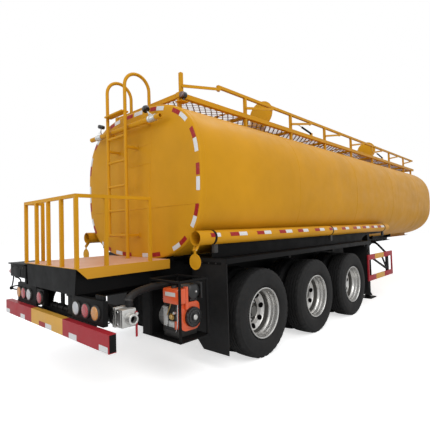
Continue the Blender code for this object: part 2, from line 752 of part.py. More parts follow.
def build_frame(clearance_of_tank):
    """Two main beams with cross members, tank saddles and the posts that carry the bumper."""
    pieces = []
    for side in (-1, 1):
        web_y = side * FRAME_Y - WEB_THICKNESS / 2
        pieces.append(plate(beam_outline(0), WEB_THICKNESS, "Y", web_y))
        low_y = side * FRAME_Y - FLANGE_WIDTH / 2
        pieces.append(block((FRAME_REAR_X, low_y, FRAME_TOP_Z - FLANGE_THICKNESS),
                            (FRAME_FRONT_X, low_y + FLANGE_WIDTH, FRAME_TOP_Z)))
        lower = beam_outline(0)[1:-1]
        upper = [(x, z + FLANGE_THICKNESS) for x, z in reversed(lower)]
        pieces.append(plate(lower + upper, FLANGE_WIDTH, "Y", low_y))
    for x in CROSS_MEMBER_XS:
        low_z = FRAME_TOP_Z - FLANGE_THICKNESS - CROSS_MEMBER_HEIGHT
        pieces.append(block((x - CROSS_MEMBER_WIDTH / 2, -FRAME_Y, low_z),
                            (x + CROSS_MEMBER_WIDTH / 2, FRAME_Y, low_z + CROSS_MEMBER_HEIGHT)))
    saddle_top = TANK_CENTRE_Z - TANK_HALF_HEIGHT + OVERRUN
    for x in SADDLE_XS:
        pieces.append(block((x - SADDLE_THICKNESS / 2, -SADDLE_HALF_WIDTH, FRAME_TOP_Z - LAP),
                            (x + SADDLE_THICKNESS / 2, SADDLE_HALF_WIDTH, saddle_top)))
    for side in (-1, 1):
        low_y, high_y = span(side, BUMPER_POST_Y - BUMPER_POST_SIZE / 2, BUMPER_POST_Y + BUMPER_POST_SIZE / 2)
        foot_z = BUMPER_BOTTOM_Z + BUMPER_WALL + GAP
        foot_top_z = BUMPER_BOTTOM_Z + BUMPER_HEIGHT - BUMPER_WALL - GAP
        post_x = FRAME_REAR_X + BUMPER_POST_SIZE
        pieces.append(block((FRAME_REAR_X, low_y, foot_z), (post_x, high_y, FRAME_BOTTOM_Z + FLANGE_THICKNESS)))
        pieces.append(block((BUMPER_REAR_X + BUMPER_WALL + GAP, low_y, foot_z),
                            (post_x, high_y, foot_top_z)))
        middle_y = side * FRAME_Y
        pieces.append(block((FILLER_REAR_X, middle_y - FILLER_WIDTH / 2, FRAME_TOP_Z - LAP / 2),
                            (FILLER_FRONT_X, middle_y + FILLER_WIDTH / 2, saddle_top + LAP)))
    pieces.append(block((FRAME_REAR_X + LAP, -BUMPER_POST_Y, POST_TIE_BOTTOM_Z),
                        (FRAME_REAR_X + BUMPER_POST_SIZE - LAP, BUMPER_POST_Y, POST_TIE_TOP_Z)))
    node("chassis_frame", pieces, BLACK, [clearance_of_tank])


def spring_outline(axle_x):
    """The side view of a leaf spring, with one step below for each leaf."""
    seat_z = AXLE_Z + AXLE_BEAM_SIZE / 2 + SPRING_SEAT_HEIGHT
    half = SPRING_LENGTH / 2
    top_z = seat_z + len(LEAF_LENGTH_SHARES) * LEAF_THICKNESS
    top = []
    for step in range(SPRING_CURVE_STEPS + 1):
        along = 2 * step / SPRING_CURVE_STEPS - 1
        top.append((axle_x - along * half, top_z + SPRING_CAMBER * along ** 2))
    right = []
    for count, along in enumerate(LEAF_LENGTH_SHARES, start=1):
        inner = LEAF_LENGTH_SHARES[count] if count < len(LEAF_LENGTH_SHARES) else 0
        for reach in (along, inner):
            right.append((reach * half, top_z - count * LEAF_THICKNESS + SPRING_CAMBER * reach ** 2))
    lower = [(axle_x - x, z) for x, z in right] + [(axle_x + x, z) for x, z in reversed(right[:-1])]
    return top + lower


def build_suspension():
    """On each side three leaf springs between four hangers on one rail."""
    for side, label in ((1, "left"), (-1, "right")):
        pieces = []
        low_y = side * FRAME_Y - SPRING_WIDTH / 2
        rail_top = FRAME_BOTTOM_Z - GAP
        rear_x = AXLE_XS[0] - AXLE_SPACING / 2 - HANGER_RAIL_OVERHANG
        front_x = AXLE_XS[-1] + AXLE_SPACING / 2 + HANGER_RAIL_OVERHANG
        pieces.append(block((rear_x, side * FRAME_Y - HANGER_WIDTH / 2, rail_top - HANGER_RAIL_THICKNESS),
                            (front_x, side * FRAME_Y + HANGER_WIDTH / 2, rail_top)))
        for index in range(AXLE_COUNT + 1):
            x = (index - 0.5) * AXLE_SPACING
            pieces.append(block((x - HANGER_LENGTH / 2, side * FRAME_Y - HANGER_WIDTH / 2, rail_top - HANGER_DROP),
                                (x + HANGER_LENGTH / 2, side * FRAME_Y + HANGER_WIDTH / 2, rail_top)))
        for axle_x in AXLE_XS:
            pieces.append(plate(spring_outline(axle_x), SPRING_WIDTH, "Y", low_y))
        node(f"suspension_{label}", pieces, BLACK)


def build_axles():
    """Square beams with spring seats, round spindles and brake shields."""
    half = AXLE_BEAM_SIZE / 2
    beam_end = TWIN_Y - DRUM_REACH - AXLE_BEAM_CLEARANCE
    spindle_end = TWIN_Y - GAP
    seat_half = SPRING_SEAT_LENGTH / 2
    shield_y = TWIN_Y - DRUM_REACH - MOVING_GAP
    pieces = [block((-half, -beam_end, -half), (half, beam_end, half))]
    for side in (-1, 1):
        low_y, high_y = span(side, FRAME_Y - SPRING_WIDTH / 2, FRAME_Y + SPRING_WIDTH / 2)
        pieces.append(block((-seat_half, low_y, half - LAP), (seat_half, high_y, half + SPRING_SEAT_HEIGHT - GAP)))
        pieces.append(rod((0, side * (beam_end - OVERRUN), 0), (0, side * spindle_end, 0), SPINDLE_RADIUS,
                          SPINDLE_FACETS))
        pieces.append(rod((0, side * (shield_y - SHIELD_THICKNESS), 0), (0, side * shield_y, 0), SHIELD_RADIUS,
                          SPINDLE_FACETS))
    mesh = shape(pieces, BLACK)
    for index, x in enumerate(AXLE_XS, start=1):
        place(f"axle_{index}", mesh, (x, 0, AXLE_Z))


def twin_wheel_profile():
    """The turned outline of two tyres on one hub, from the hub's cap to the spindle's bore."""
    tyre_centre = (TYRE_WIDTH + TWIN_GAP) / 2
    tyre_height = TYRE_RADIUS - RIM_RADIUS
    outer = [(RIM_RADIUS + height_share * tyre_height, tyre_centre + width_share * TYRE_WIDTH)
             for height_share, width_share in TYRE_SECTION_SHARES]
    inner = [(radius, -height) for radius, height in reversed(outer)]
    lip = outer[0][1]
    bore_radius = (SPINDLE_RADIUS + SPINDLE_CLEARANCE) / math.cos(math.pi / WHEEL_FACETS)
    face = [(0, HUB_REACH), (HUB_RADIUS, HUB_REACH), (HUB_RADIUS, DISC_HALF_THICKNESS),
            (DISH_RADIUS, DISC_HALF_THICKNESS), (RIM_WELL_RADIUS, lip - RIM_LIP_HEIGHT)]
    back = [(RIM_WELL_RADIUS, RIM_LIP_HEIGHT - lip), (DISH_RADIUS, -DISC_HALF_THICKNESS),
            (DRUM_RADIUS, -DISC_HALF_THICKNESS), (DRUM_RADIUS, -DRUM_REACH),
            (bore_radius, -DRUM_REACH), (bore_radius, 0), (0, 0)]
    return face + outer + inner + back


def build_wheels():
    """Six twin wheels, each one body that turns on its spindle."""
    for side, label in ((1, "left"), (-1, "right")):
        mesh = shape([turned(twin_wheel_profile(), WHEEL_FACETS, (0, 0, 0), (0, side, 0))], RUBBER)
        for index, x in enumerate(AXLE_XS, start=1):
            place(f"twin_wheel_{index}_{label}", mesh, (x, side * TWIN_Y, AXLE_Z))


def build_walkway(clearance_of_tank):
    """Kerbs, cross bars, legs and the eight fixed posts of the handrail."""
    low_z = KERB_TOP_Z - KERB_SIZE
    pieces = []
    for side in (-1, 1):
        low_y, high_y = span(side, KERB_Y - HALF_KERB, KERB_Y + HALF_KERB)
        pieces.append(block((WALKWAY_REAR_X, low_y, low_z), (WALKWAY_FRONT_X, high_y, KERB_TOP_Z)))
    half_bar = WALKWAY_BAR_SIZE / 2
    half_leg = WALKWAY_LEG_SIZE / 2
    bar_xs = [WALKWAY_REAR_X + HALF_KERB]
    bar_xs += [FIRST_POST_X + index * WALKWAY_BAY for index in range(1, POST_COUNT)]
    bar_xs.append(WALKWAY_FRONT_X - HALF_KERB)
    crown_z = TANK_CENTRE_Z + TANK_HALF_HEIGHT
    for x in bar_xs:
        pieces.append(block((x - half_bar, -KERB_Y, low_z), (x + half_bar, KERB_Y, low_z + WALKWAY_BAR_SIZE)))
    for x in bar_xs[:-1]:
        for side in (-1, 1):
            low_y, high_y = span(side, KERB_Y - half_leg, KERB_Y + half_leg)
            pieces.append(block((x - half_leg, low_y, crown_z - 2 * WALKWAY_LEG_SINK), (x + half_leg, high_y, low_z + LAP)))
    front_leg_x = TANK_BARREL_FRONT_X + FRONT_HEAD_DEPTH / 2
    for side in (-1, 1):
        low_y, high_y = span(side, KERB_Y - half_leg, KERB_Y + half_leg)
        pieces.append(block((front_leg_x - half_leg, low_y, crown_z - FRONT_HEAD_DEPTH),
                            (front_leg_x + half_leg, high_y, low_z + LAP)))
    half_post = POST_SIZE / 2
    for index in range(POST_COUNT):
        x = FIRST_POST_X + index * WALKWAY_BAY
        top = RAIL_CENTRE_Z if index == 0 else RAIL_CENTRE_Z - RAIL_SIZE / 2 - GAP
        pieces.append(block((x - half_post, -KERB_Y - half_post, KERB_TOP_Z - LAP),
                            (x + half_post, -KERB_Y + half_post, top)))
    for index in CYLINDER_POSTS:
        foot = cylinder_foot(index)
        for side in (-1, 1):
            low_y, high_y = span(side, EYE_THICKNESS / 2 + GAP, EYE_THICKNESS / 2 + GAP + FOOT_THICKNESS)
            pieces.append(block((foot.x - EYE_RADIUS, low_y - KERB_Y, KERB_TOP_Z - LAP),
                                (foot.x + EYE_RADIUS, high_y - KERB_Y, foot.z + EYE_RADIUS / 2)))
        pieces.append(rod((foot.x, foot.y - EYE_THICKNESS, foot.z), (foot.x, foot.y + EYE_THICKNESS, foot.z),
                          FOOT_PIN_RADIUS, CYLINDER_FACETS))
    hatches = [block((x - HATCH_HALF_SIZE, -HATCH_HALF_SIZE, low_z - OVERRUN),
                     (x + HATCH_HALF_SIZE, HATCH_HALF_SIZE, KERB_TOP_Z + OVERRUN)) for x in MANHOLE_XS]
    node("walkway_frame", pieces, YELLOW, [clearance_of_tank, *hatches])


def build_grating():
    """Open grating between the kerbs, on the cross bars, with a square hatch round each manhole."""
    low_z = KERB_TOP_Z - KERB_SIZE + WALKWAY_BAR_SIZE + GAP
    high_z = low_z + GRATING_THICKNESS - GAP
    half_width = KERB_Y - HALF_KERB - GAP
    rear_x = WALKWAY_REAR_X + GRATING_BAR_WIDTH
    front_x = WALKWAY_FRONT_X - GRATING_BAR_WIDTH
    bay_count = round((front_x - rear_x) / GRATING_BAY_LENGTH)
    bay_pitch = (front_x - rear_x - GRATING_BAR_WIDTH) / bay_count
    row_pitch = (2 * half_width - GRATING_BAR_WIDTH) / GRATING_ROWS
    hatch = HATCH_HALF_SIZE
    holes = [((x - hatch, -hatch), (x + hatch, hatch)) for x in MANHOLE_XS]
    for bay in range(bay_count):
        near_x = rear_x + GRATING_BAR_WIDTH + bay * bay_pitch
        far_x = near_x + bay_pitch - GRATING_BAR_WIDTH
        if any(near_x < x + hatch and far_x > x - hatch for x in MANHOLE_XS):
            continue
        for row in range(GRATING_ROWS):
            low_y = -half_width + GRATING_BAR_WIDTH + row * row_pitch
            holes.append(((near_x, low_y), (far_x, low_y + row_pitch - GRATING_BAR_WIDTH)))
    form = bmesh.new()
    for low, high in holes:
        cube = bmesh.ops.create_cube(form, size=1.0)["verts"]
        bmesh.ops.scale(form, vec=(high[0] - low[0], high[1] - low[1], 2 * GRATING_THICKNESS), verts=cube)
        bmesh.ops.translate(form, vec=((low[0] + high[0]) / 2, (low[1] + high[1]) / 2, (low_z + high_z) / 2),
                            verts=cube)
    grid = block((rear_x, -half_width, low_z), (front_x, half_width, high_z))
    node("walkway_grating", [grid], YELLOW, [from_bmesh(form)])


def arm_pivot(index):
    """Where an arm turns on its post's outer side."""
    post_x = FIRST_POST_X + index * WALKWAY_BAY
    return Vector((post_x, -KERB_Y - POST_SIZE / 2, ARM_PIVOT_Z))


def arm_tip(index):
    """Where an arm carries the top rail."""
    reach = Vector((math.cos(ARM_REST_ANGLE), 0, math.sin(ARM_REST_ANGLE))) * ARM_LENGTH
    return arm_pivot(index) + reach


def link_outline(start, end, radius):
    """A bar's side view in X and Z with round ends about two pins."""
    direction = math.atan2(end.z - start.z, end.x - start.x)
    outline = []
    for centre, first_angle in ((end, direction - math.pi / 2), (start, direction + math.pi / 2)):
        for step in range(LINK_ROUND_STEPS + 1):
            angle = first_angle + math.pi * step / LINK_ROUND_STEPS
            outline.append((centre.x + radius * math.cos(angle), centre.z + radius * math.sin(angle)))
    return outline


def arm_shape(has_cylinder):
    """One arm about its pivot, with a boss at each end and a pin where a cylinder pushes it."""
    pivot = Vector((0, 0, 0))
    tip = arm_tip(0) - arm_pivot(0)
    inner_y = -MOVING_GAP
    outer_y = inner_y - ARM_THICKNESS
    lug_face_y = POST_SIZE / 2 - LUG_THICKNESS / 2
    pieces = [
        plate(link_outline(pivot, tip, ARM_WIDTH / 2), ARM_THICKNESS, "Y", outer_y),
        rod((0, inner_y - LAP, 0), (0, -GAP, 0), ARM_BOSS_RADIUS, BOSS_FACETS),
        rod((tip.x, inner_y - LAP, tip.z), (tip.x, lug_face_y - GAP, tip.z), ARM_BOSS_RADIUS, BOSS_FACETS),
    ]
    if has_cylinder:
        pin = arm_pin(0) - arm_pivot(0)
        eye_face_y = POST_SIZE / 2 - EYE_THICKNESS / 2
        pieces.append(rod((pin.x, inner_y - LAP, pin.z), (pin.x, eye_face_y - GAP, pin.z), ARM_BOSS_RADIUS,
                          BOSS_FACETS))
    return shape(pieces, YELLOW)


def build_handrail():
    """Eight arms on the posts, and the top rail that they carry on its lugs."""
    plain = arm_shape(False)
    pushed = arm_shape(True)
    for index in range(POST_COUNT):
        mesh = pushed if index in CYLINDER_POSTS else plain
        place(f"handrail_arm_{index + 1}", mesh, arm_pivot(index))
    half = RAIL_SIZE / 2
    pieces = [block((RAIL_REAR_X, -KERB_Y - half, RAIL_CENTRE_Z - half),
                    (RAIL_FRONT_X, -KERB_Y + half, RAIL_CENTRE_Z + half))]
    for index in range(POST_COUNT):
        tip = arm_tip(index)
        pieces.append(block((tip.x - LUG_WIDTH / 2, -KERB_Y - LUG_THICKNESS / 2, tip.z - LUG_WIDTH / 2),
                            (tip.x + LUG_WIDTH / 2, -KERB_Y + LUG_THICKNESS / 2, RAIL_CENTRE_Z - half + LAP)))
    node("handrail_top_rail", pieces, YELLOW, pivot=arm_tip(0))


def arm_pin(index):
    """The pin on an arm that a cylinder's rod pushes."""
    reach = Vector((math.cos(ARM_REST_ANGLE), 0, math.sin(ARM_REST_ANGLE))) * CYLINDER_ARM_REACH
    pin = arm_pivot(index) + reach
    pin.y = -KERB_Y
    return pin


def cylinder_foot(index):
    """Where a cylinder's barrel turns on its foot on the kerb."""
    x = FIRST_POST_X + index * WALKWAY_BAY + CYLINDER_FOOT_REACH
    return Vector((x, -KERB_Y, KERB_TOP_Z + CYLINDER_FOOT_RISE))


def build_cylinders():
    """Two cylinders, each a bored barrel on a kerb foot and a rod whose eye lies at its arm's pin."""
    pin = arm_pin(0) - cylinder_foot(0)
    along = pin.normalized()
    across = Vector((0, 1, 0))
    half_eye = across * EYE_THICKNESS / 2
    middle = Vector((0, 0, 0))
    pieces = [
        rod(along * 2 * EYE_RADIUS, along * BARREL_LENGTH, BARREL_RADIUS, CYLINDER_FACETS),
        rod(-half_eye, half_eye, EYE_RADIUS, CYLINDER_FACETS),
        rod(middle, along * (2 * EYE_RADIUS + LAP), EYE_THICKNESS * EYE_NECK_SHARE, CYLINDER_FACETS),
    ]
    bore_start = 2 * EYE_RADIUS + LAP
    cuts = [rod(along * bore_start, along * (BARREL_LENGTH + OVERRUN), BARREL_BORE_RADIUS, CYLINDER_FACETS),
            rod(-2 * half_eye, 2 * half_eye, FOOT_PIN_RADIUS + 2 * GAP, CYLINDER_FACETS)]
    barrel = shape(pieces, BLACK, cuts)
    pieces = [
        rod(along * (bore_start + LAP - pin.length), middle, ROD_RADIUS, CYLINDER_FACETS),
        rod(-half_eye, half_eye, EYE_RADIUS, CYLINDER_FACETS),
    ]
    piston_rod = shape(pieces, SILVER)
    for number, index in enumerate(CYLINDER_POSTS, start=1):
        place(f"rail_cylinder_barrel_{number}", barrel, cylinder_foot(index))
        place(f"rail_cylinder_rod_{number}", piston_rod, arm_pin(index))


def hoop(y, low_z):
    """A ladder stile that runs up, over and down to the rear cross bar of the walkway."""
    landing_x = WALKWAY_REAR_X + HALF_KERB
    radius = (landing_x - LADDER_X) / 2
    centre_x = LADDER_X + radius
    centre_z = HOOP_TOP_Z - radius
    points = [(LADDER_X, y, low_z)]
    for step in range(HOOP_ROUND_POINTS):
        angle = math.pi - math.pi * step / (HOOP_ROUND_POINTS - 1)
        points.append((centre_x + radius * math.cos(angle), y, centre_z + radius * math.sin(angle)))
    points.append((landing_x, y, KERB_TOP_Z - KERB_SIZE + WALKWAY_BAR_SIZE + GRATING_THICKNESS + GAP))
    return pipe(points, STILE_RADIUS)


def build_ladder(clearance_of_tank):
    """Two hooped stiles with round rungs and a wide top step, held off the tank's rear head."""
    pieces = [hoop(LADDER_RIGHT_Y, DECK_TOP_Z + GAP), hoop(LADDER_LEFT_Y, RUNG_FIRST_Z)]
    for index in range(RUNG_COUNT):
        z = RUNG_FIRST_Z + index * RUNG_SPACING
        pieces.append(rod((LADDER_X, LADDER_RIGHT_Y, z), (LADDER_X, LADDER_LEFT_Y, z), RUNG_RADIUS, 8))
    half_step = LADDER_STEP_THICKNESS / 2
    pieces.append(block((LADDER_X - LADDER_STEP_DEPTH / 2, LADDER_RIGHT_Y, LADDER_STEP_Z - half_step),
                        (LADDER_X + LADDER_STEP_DEPTH / 2, LADDER_LEFT_Y, LADDER_STEP_Z + half_step)))
    half = STAND_OFF_SIZE / 2
    for y in (LADDER_RIGHT_Y, LADDER_LEFT_Y):
        for z in STAND_OFF_ZS:
            pieces.append(block((LADDER_X, y - half, z - half), (TANK_REAR_X + OVERRUN, y + half, z + half)))
    node("ladder", pieces, YELLOW, [clearance_of_tank])


def build_spray_pipe(clearance_of_tank):
    """Open-ended pipe across the rear head with a hand valve near each end."""
    low_y = SPRAY_CENTRE_Y - SPRAY_HALF_LENGTH
    high_y = SPRAY_CENTRE_Y + SPRAY_HALF_LENGTH
    pieces = [rod((SPRAY_X, low_y, SPRAY_Z), (SPRAY_X, high_y, SPRAY_Z), SPRAY_RADIUS, 16)]
    half = STAND_OFF_SIZE / 2
    for y in SPRAY_BRACKET_YS:
        pieces.append(block((SPRAY_X, y - half, SPRAY_Z - half), (TANK_REAR_X + OVERRUN, y + half, SPRAY_Z + half)))
    for y, shift in zip(VALVE_YS, VALVE_KNOB_SHIFTS):
        pieces.append(rod((SPRAY_X, y - VALVE_BODY_LENGTH / 2, SPRAY_Z), (SPRAY_X, y + VALVE_BODY_LENGTH / 2, SPRAY_Z),
                          VALVE_BODY_RADIUS, 16))
        lean = Vector((0, shift, VALVE_KNOB_RISE))
        top = Vector((SPRAY_X, y, SPRAY_Z)) + lean
        pieces.append(rod((SPRAY_X, y, SPRAY_Z), top, VALVE_STEM_RADIUS, CYLINDER_FACETS))
        half_knob = lean.normalized() * KNOB_LENGTH / 2
        pieces.append(rod(top - half_knob, top + half_knob, KNOB_RADIUS, 16))
    bores = []
    for side, end_y, valve_y in ((-1, low_y, VALVE_YS[0]), (1, high_y, VALVE_YS[1])):
        bores.append(rod((SPRAY_X, end_y + side * OVERRUN, SPRAY_Z), (SPRAY_X, valve_y + side * VALVE_BODY_LENGTH, SPRAY_Z),
                         SPRAY_BORE_RADIUS, 16))
    node("spray_pipe", pieces, YELLOW, [*bores, clearance_of_tank])


def build_platform():
    """Rear deck with side fascias cut off slantwise behind, and ribs that rest on the beams."""
    plate_bottom = DECK_TOP_Z - DECK_PLATE_THICKNESS
    pieces = [block((DECK_REAR_X, -DECK_HALF_WIDTH, plate_bottom), (DECK_FRONT_X, DECK_HALF_WIDTH, DECK_TOP_Z))]
    low_z = DECK_TOP_Z - FASCIA_HEIGHT
    outline = [(DECK_REAR_X, DECK_TOP_Z), (DECK_REAR_X + FASCIA_CUT_LENGTH, low_z), (DECK_FRONT_X, low_z),
               (DECK_FRONT_X, DECK_TOP_Z)]
    for side in (-1, 1):
        low_y, _ = span(side, DECK_HALF_WIDTH - FASCIA_THICKNESS, DECK_HALF_WIDTH)
        pieces.append(plate(outline, FASCIA_THICKNESS, "Y", low_y))
    rear_rib_x = FRAME_REAR_X + DECK_RIB_WIDTH
    pitch = (DECK_FRONT_X - DECK_RIB_WIDTH - rear_rib_x) / (DECK_RIB_COUNT - 1)
    for index in range(DECK_RIB_COUNT):
        x = rear_rib_x + index * pitch
        pieces.append(block((x, -DECK_HALF_WIDTH + LAP, FRAME_TOP_Z + GAP),
                            (x + DECK_RIB_WIDTH, DECK_HALF_WIDTH - LAP, plate_bottom + LAP / 2)))
    node("platform_deck", pieces, DECK_YELLOW)


def build_rear_panel():
    """Black panel below the deck's rear edge, with a skirt along each side under the ribs."""
    top = DECK_TOP_Z - DECK_PLATE_THICKNESS - GAP
    outline = [(-PANEL_TOP_HALF_WIDTH, top), (PANEL_TOP_HALF_WIDTH, top),
               (PANEL_BOTTOM_HALF_WIDTH, PANEL_BOTTOM_Z), (-PANEL_BOTTOM_HALF_WIDTH, PANEL_BOTTOM_Z)]
    pieces = [plate(outline, PANEL_THICKNESS, "X", PANEL_REAR_X)]
    for side in (-1, 1):
        low_y, high_y = span(side, PANEL_BOTTOM_HALF_WIDTH - 2 * PANEL_THICKNESS, PANEL_BOTTOM_HALF_WIDTH - PANEL_THICKNESS)
        pieces.append(block((PANEL_REAR_X + LAP, low_y, PANEL_BOTTOM_Z + LAP), (PANEL_FRONT_X, high_y, FRAME_TOP_Z)))
    node("rear_panel", pieces, BLACK)


def build_guard_rail():
    """Square-tube guard round the left, rear and right of the deck, open towards the ladder."""
    half = GUARD_TUBE_SIZE / 2
    low_z = DECK_TOP_Z + GAP
    rear_x = DECK_REAR_X + half
    edge_y = DECK_HALF_WIDTH - half
    top_low = GUARD_TOP_Z - GUARD_TUBE_SIZE
    pieces = [
        block((rear_x - half, -edge_y - half, top_low), (rear_x + half, edge_y + half, GUARD_TOP_Z)),
        block((rear_x - half, edge_y - half, top_low), (GUARD_LEFT_FRONT_X + half, edge_y + half, GUARD_TOP_Z)),
        block((rear_x - half, -edge_y - half, top_low), (GUARD_RIGHT_FRONT_X + half, -edge_y + half, GUARD_TOP_Z)),
    ]
    feet = []
    for index in range(GUARD_REAR_POST_COUNT):
        feet.append((rear_x, edge_y - index * 2 * edge_y / (GUARD_REAR_POST_COUNT - 1)))
    feet += [(GUARD_LEFT_FRONT_X, edge_y), (GUARD_RIGHT_POST_X, -edge_y), (GUARD_RIGHT_FRONT_X, -edge_y)]
    for x, y in feet:
        pieces.append(block((x - half, y - half, low_z), (x + half, y + half, GUARD_TOP_Z)))
    node("platform_guard_rail", pieces, YELLOW)


def build_bumper():
    """Channel bumper, open to the front."""
    top_z = BUMPER_BOTTOM_Z + BUMPER_HEIGHT
    front_x = BUMPER_REAR_X + BUMPER_DEPTH
    web_x = BUMPER_REAR_X + BUMPER_WALL
    outline = [(BUMPER_REAR_X, top_z), (BUMPER_REAR_X, BUMPER_BOTTOM_Z), (front_x, BUMPER_BOTTOM_Z),
               (front_x, BUMPER_BOTTOM_Z + BUMPER_WALL), (web_x, BUMPER_BOTTOM_Z + BUMPER_WALL),
               (web_x, top_z - BUMPER_WALL), (front_x, top_z - BUMPER_WALL), (front_x, top_z)]
    node("bumper", [plate(outline, 2 * BUMPER_HALF_WIDTH, "Y", -BUMPER_HALF_WIDTH)], RED)


def build_lamps():
    """A lamp box on each side with three round lamps, the left one with a fog lamp on a step inwards."""
    face_x = LAMP_BOX_REAR_X - LAMP_HEIGHT
    for side, label, insets in ((1, "left", LEFT_LAMP_INSETS), (-1, "right", RIGHT_LAMP_INSETS)):
        low_y, high_y = span(side, LAMP_BOX_INNER_Y, LAMP_BOX_OUTER_Y)
        front_x = LAMP_BOX_REAR_X + LAMP_BOX_DEPTH
        pieces = [block((LAMP_BOX_REAR_X, low_y, LAMP_BOX_BOTTOM_Z), (front_x, high_y, LAMP_BOX_BOTTOM_Z + LAMP_BOX_HEIGHT))]
        lamp_ys = [BUMPER_HALF_WIDTH - LAMP_BOX_INSET - inset for inset in insets]
        inner_y = FOG_BOX_INNER_Y if side > 0 else BUMPER_POST_Y - BUMPER_POST_SIZE
        inner_low, inner_high = span(side, inner_y, LAMP_BOX_INNER_Y + LAP)
        pieces.append(block((LAMP_BOX_REAR_X + LAP, inner_low, FOG_BOX_BOTTOM_Z), (FRAME_REAR_X - GAP, inner_high, FOG_BOX_TOP_Z)))
        if side > 0:
            lamp_ys.append(FOG_LAMP_Y)
        for y in lamp_ys:
            pieces.append(rod((LAMP_BOX_REAR_X + 2 * LAP, side * y, LAMP_Z), (face_x, side * y, LAMP_Z), LAMP_RADIUS, 16))
        node(f"lamp_box_{label}", pieces, BLACK)


def build_hose_tubes(make_clearance):
    """A long round tube on each side for suction hoses, open behind, on brackets from the tank."""
    for side, label in ((1, "left"), (-1, "right")):
        y = side * HOSE_TUBE_Y
        pieces = [rod((HOSE_TUBE_REAR_X, y, HOSE_TUBE_Z), (HOSE_TUBE_FRONT_X, y, HOSE_TUBE_Z), HOSE_TUBE_RADIUS,
                      HOSE_TUBE_FACETS)]
        for x in HOSE_BRACKET_XS:
            low_y, high_y = span(side, TANK_HALF_WIDTH * HOSE_BRACKET_START_SHARE, HOSE_TUBE_Y)
            pieces.append(block((x - HOSE_BRACKET_WIDTH / 2, low_y, HOSE_TUBE_Z - HOSE_BRACKET_HEIGHT / 2),
                                (x + HOSE_BRACKET_WIDTH / 2, high_y, HOSE_TUBE_Z + HOSE_BRACKET_HEIGHT / 2)))
        hinge_x, hinge_z = cap_hinge()
        inner = CAP_TONGUE_WIDTH / 2 + GAP
        ear_front_x = HOSE_TUBE_REAR_X + CAP_EAR_LENGTH
        for ear in (-1, 1):
            low_y, high_y = span(ear, inner, inner + CAP_EAR_THICKNESS)
            outline = [(hinge_x - CAP_KNUCKLE_RADIUS, hinge_z - CAP_KNUCKLE_RADIUS),
                       (hinge_x + CAP_KNUCKLE_RADIUS, hinge_z - CAP_KNUCKLE_RADIUS),
                       (ear_front_x, HOSE_TUBE_Z - HOSE_TUBE_RADIUS + LAP),
                       (HOSE_TUBE_REAR_X + CAP_KNUCKLE_RADIUS, HOSE_TUBE_Z - HOSE_TUBE_RADIUS + LAP),
                       (hinge_x - CAP_KNUCKLE_RADIUS, hinge_z + CAP_PIN_RADIUS)]
            pieces.append(plate(outline, CAP_EAR_THICKNESS, "Y", y + low_y))
        pieces.append(rod((hinge_x, y - inner - LAP, hinge_z), (hinge_x, y + inner + LAP, hinge_z), CAP_PIN_RADIUS,
                          CYLINDER_FACETS))
        bore = rod((HOSE_TUBE_REAR_X - OVERRUN, y, HOSE_TUBE_Z), (HOSE_TUBE_FRONT_X - OVERRUN, y, HOSE_TUBE_Z),
                   HOSE_TUBE_BORE_RADIUS, HOSE_TUBE_FACETS)
        node(f"hose_tube_{label}", pieces, YELLOW, [bore, make_clearance()])


def cap_hinge():
    """X and Z of the line that a hose tube's cap turns about, below the tube's mouth."""
    x = HOSE_TUBE_REAR_X - MOVING_GAP - CAP_THICKNESS / 2
    return x, HOSE_TUBE_Z - CAP_HINGE_REACH


def build_caps():
    """Round caps that hang open below the mouths of the hose tubes."""
    x, hinge_z = cap_hinge()
    half = CAP_THICKNESS / 2
    for side, label in ((1, "left"), (-1, "right")):
        y = side * HOSE_TUBE_Y
        centre_z = hinge_z - CAP_HINGE_REACH
        pieces = [
            rod((x - half, y, centre_z), (x + half, y, centre_z), CAP_RADIUS, HOSE_TUBE_FACETS),
            block((x - half, y - CAP_TONGUE_WIDTH / 2, centre_z), (x + half, y + CAP_TONGUE_WIDTH / 2, hinge_z)),
            rod((x, y - CAP_TONGUE_WIDTH / 2, hinge_z), (x, y + CAP_TONGUE_WIDTH / 2, hinge_z), CAP_KNUCKLE_RADIUS,
                CYLINDER_FACETS),
        ]
        bore = rod((x, y - CAP_TONGUE_WIDTH, hinge_z), (x, y + CAP_TONGUE_WIDTH, hinge_z), CAP_PIN_RADIUS + 2 * GAP,
                   CYLINDER_FACETS)
        node(f"hose_tube_cap_{label}", pieces, YELLOW, [bore], pivot=(x, y, hinge_z))


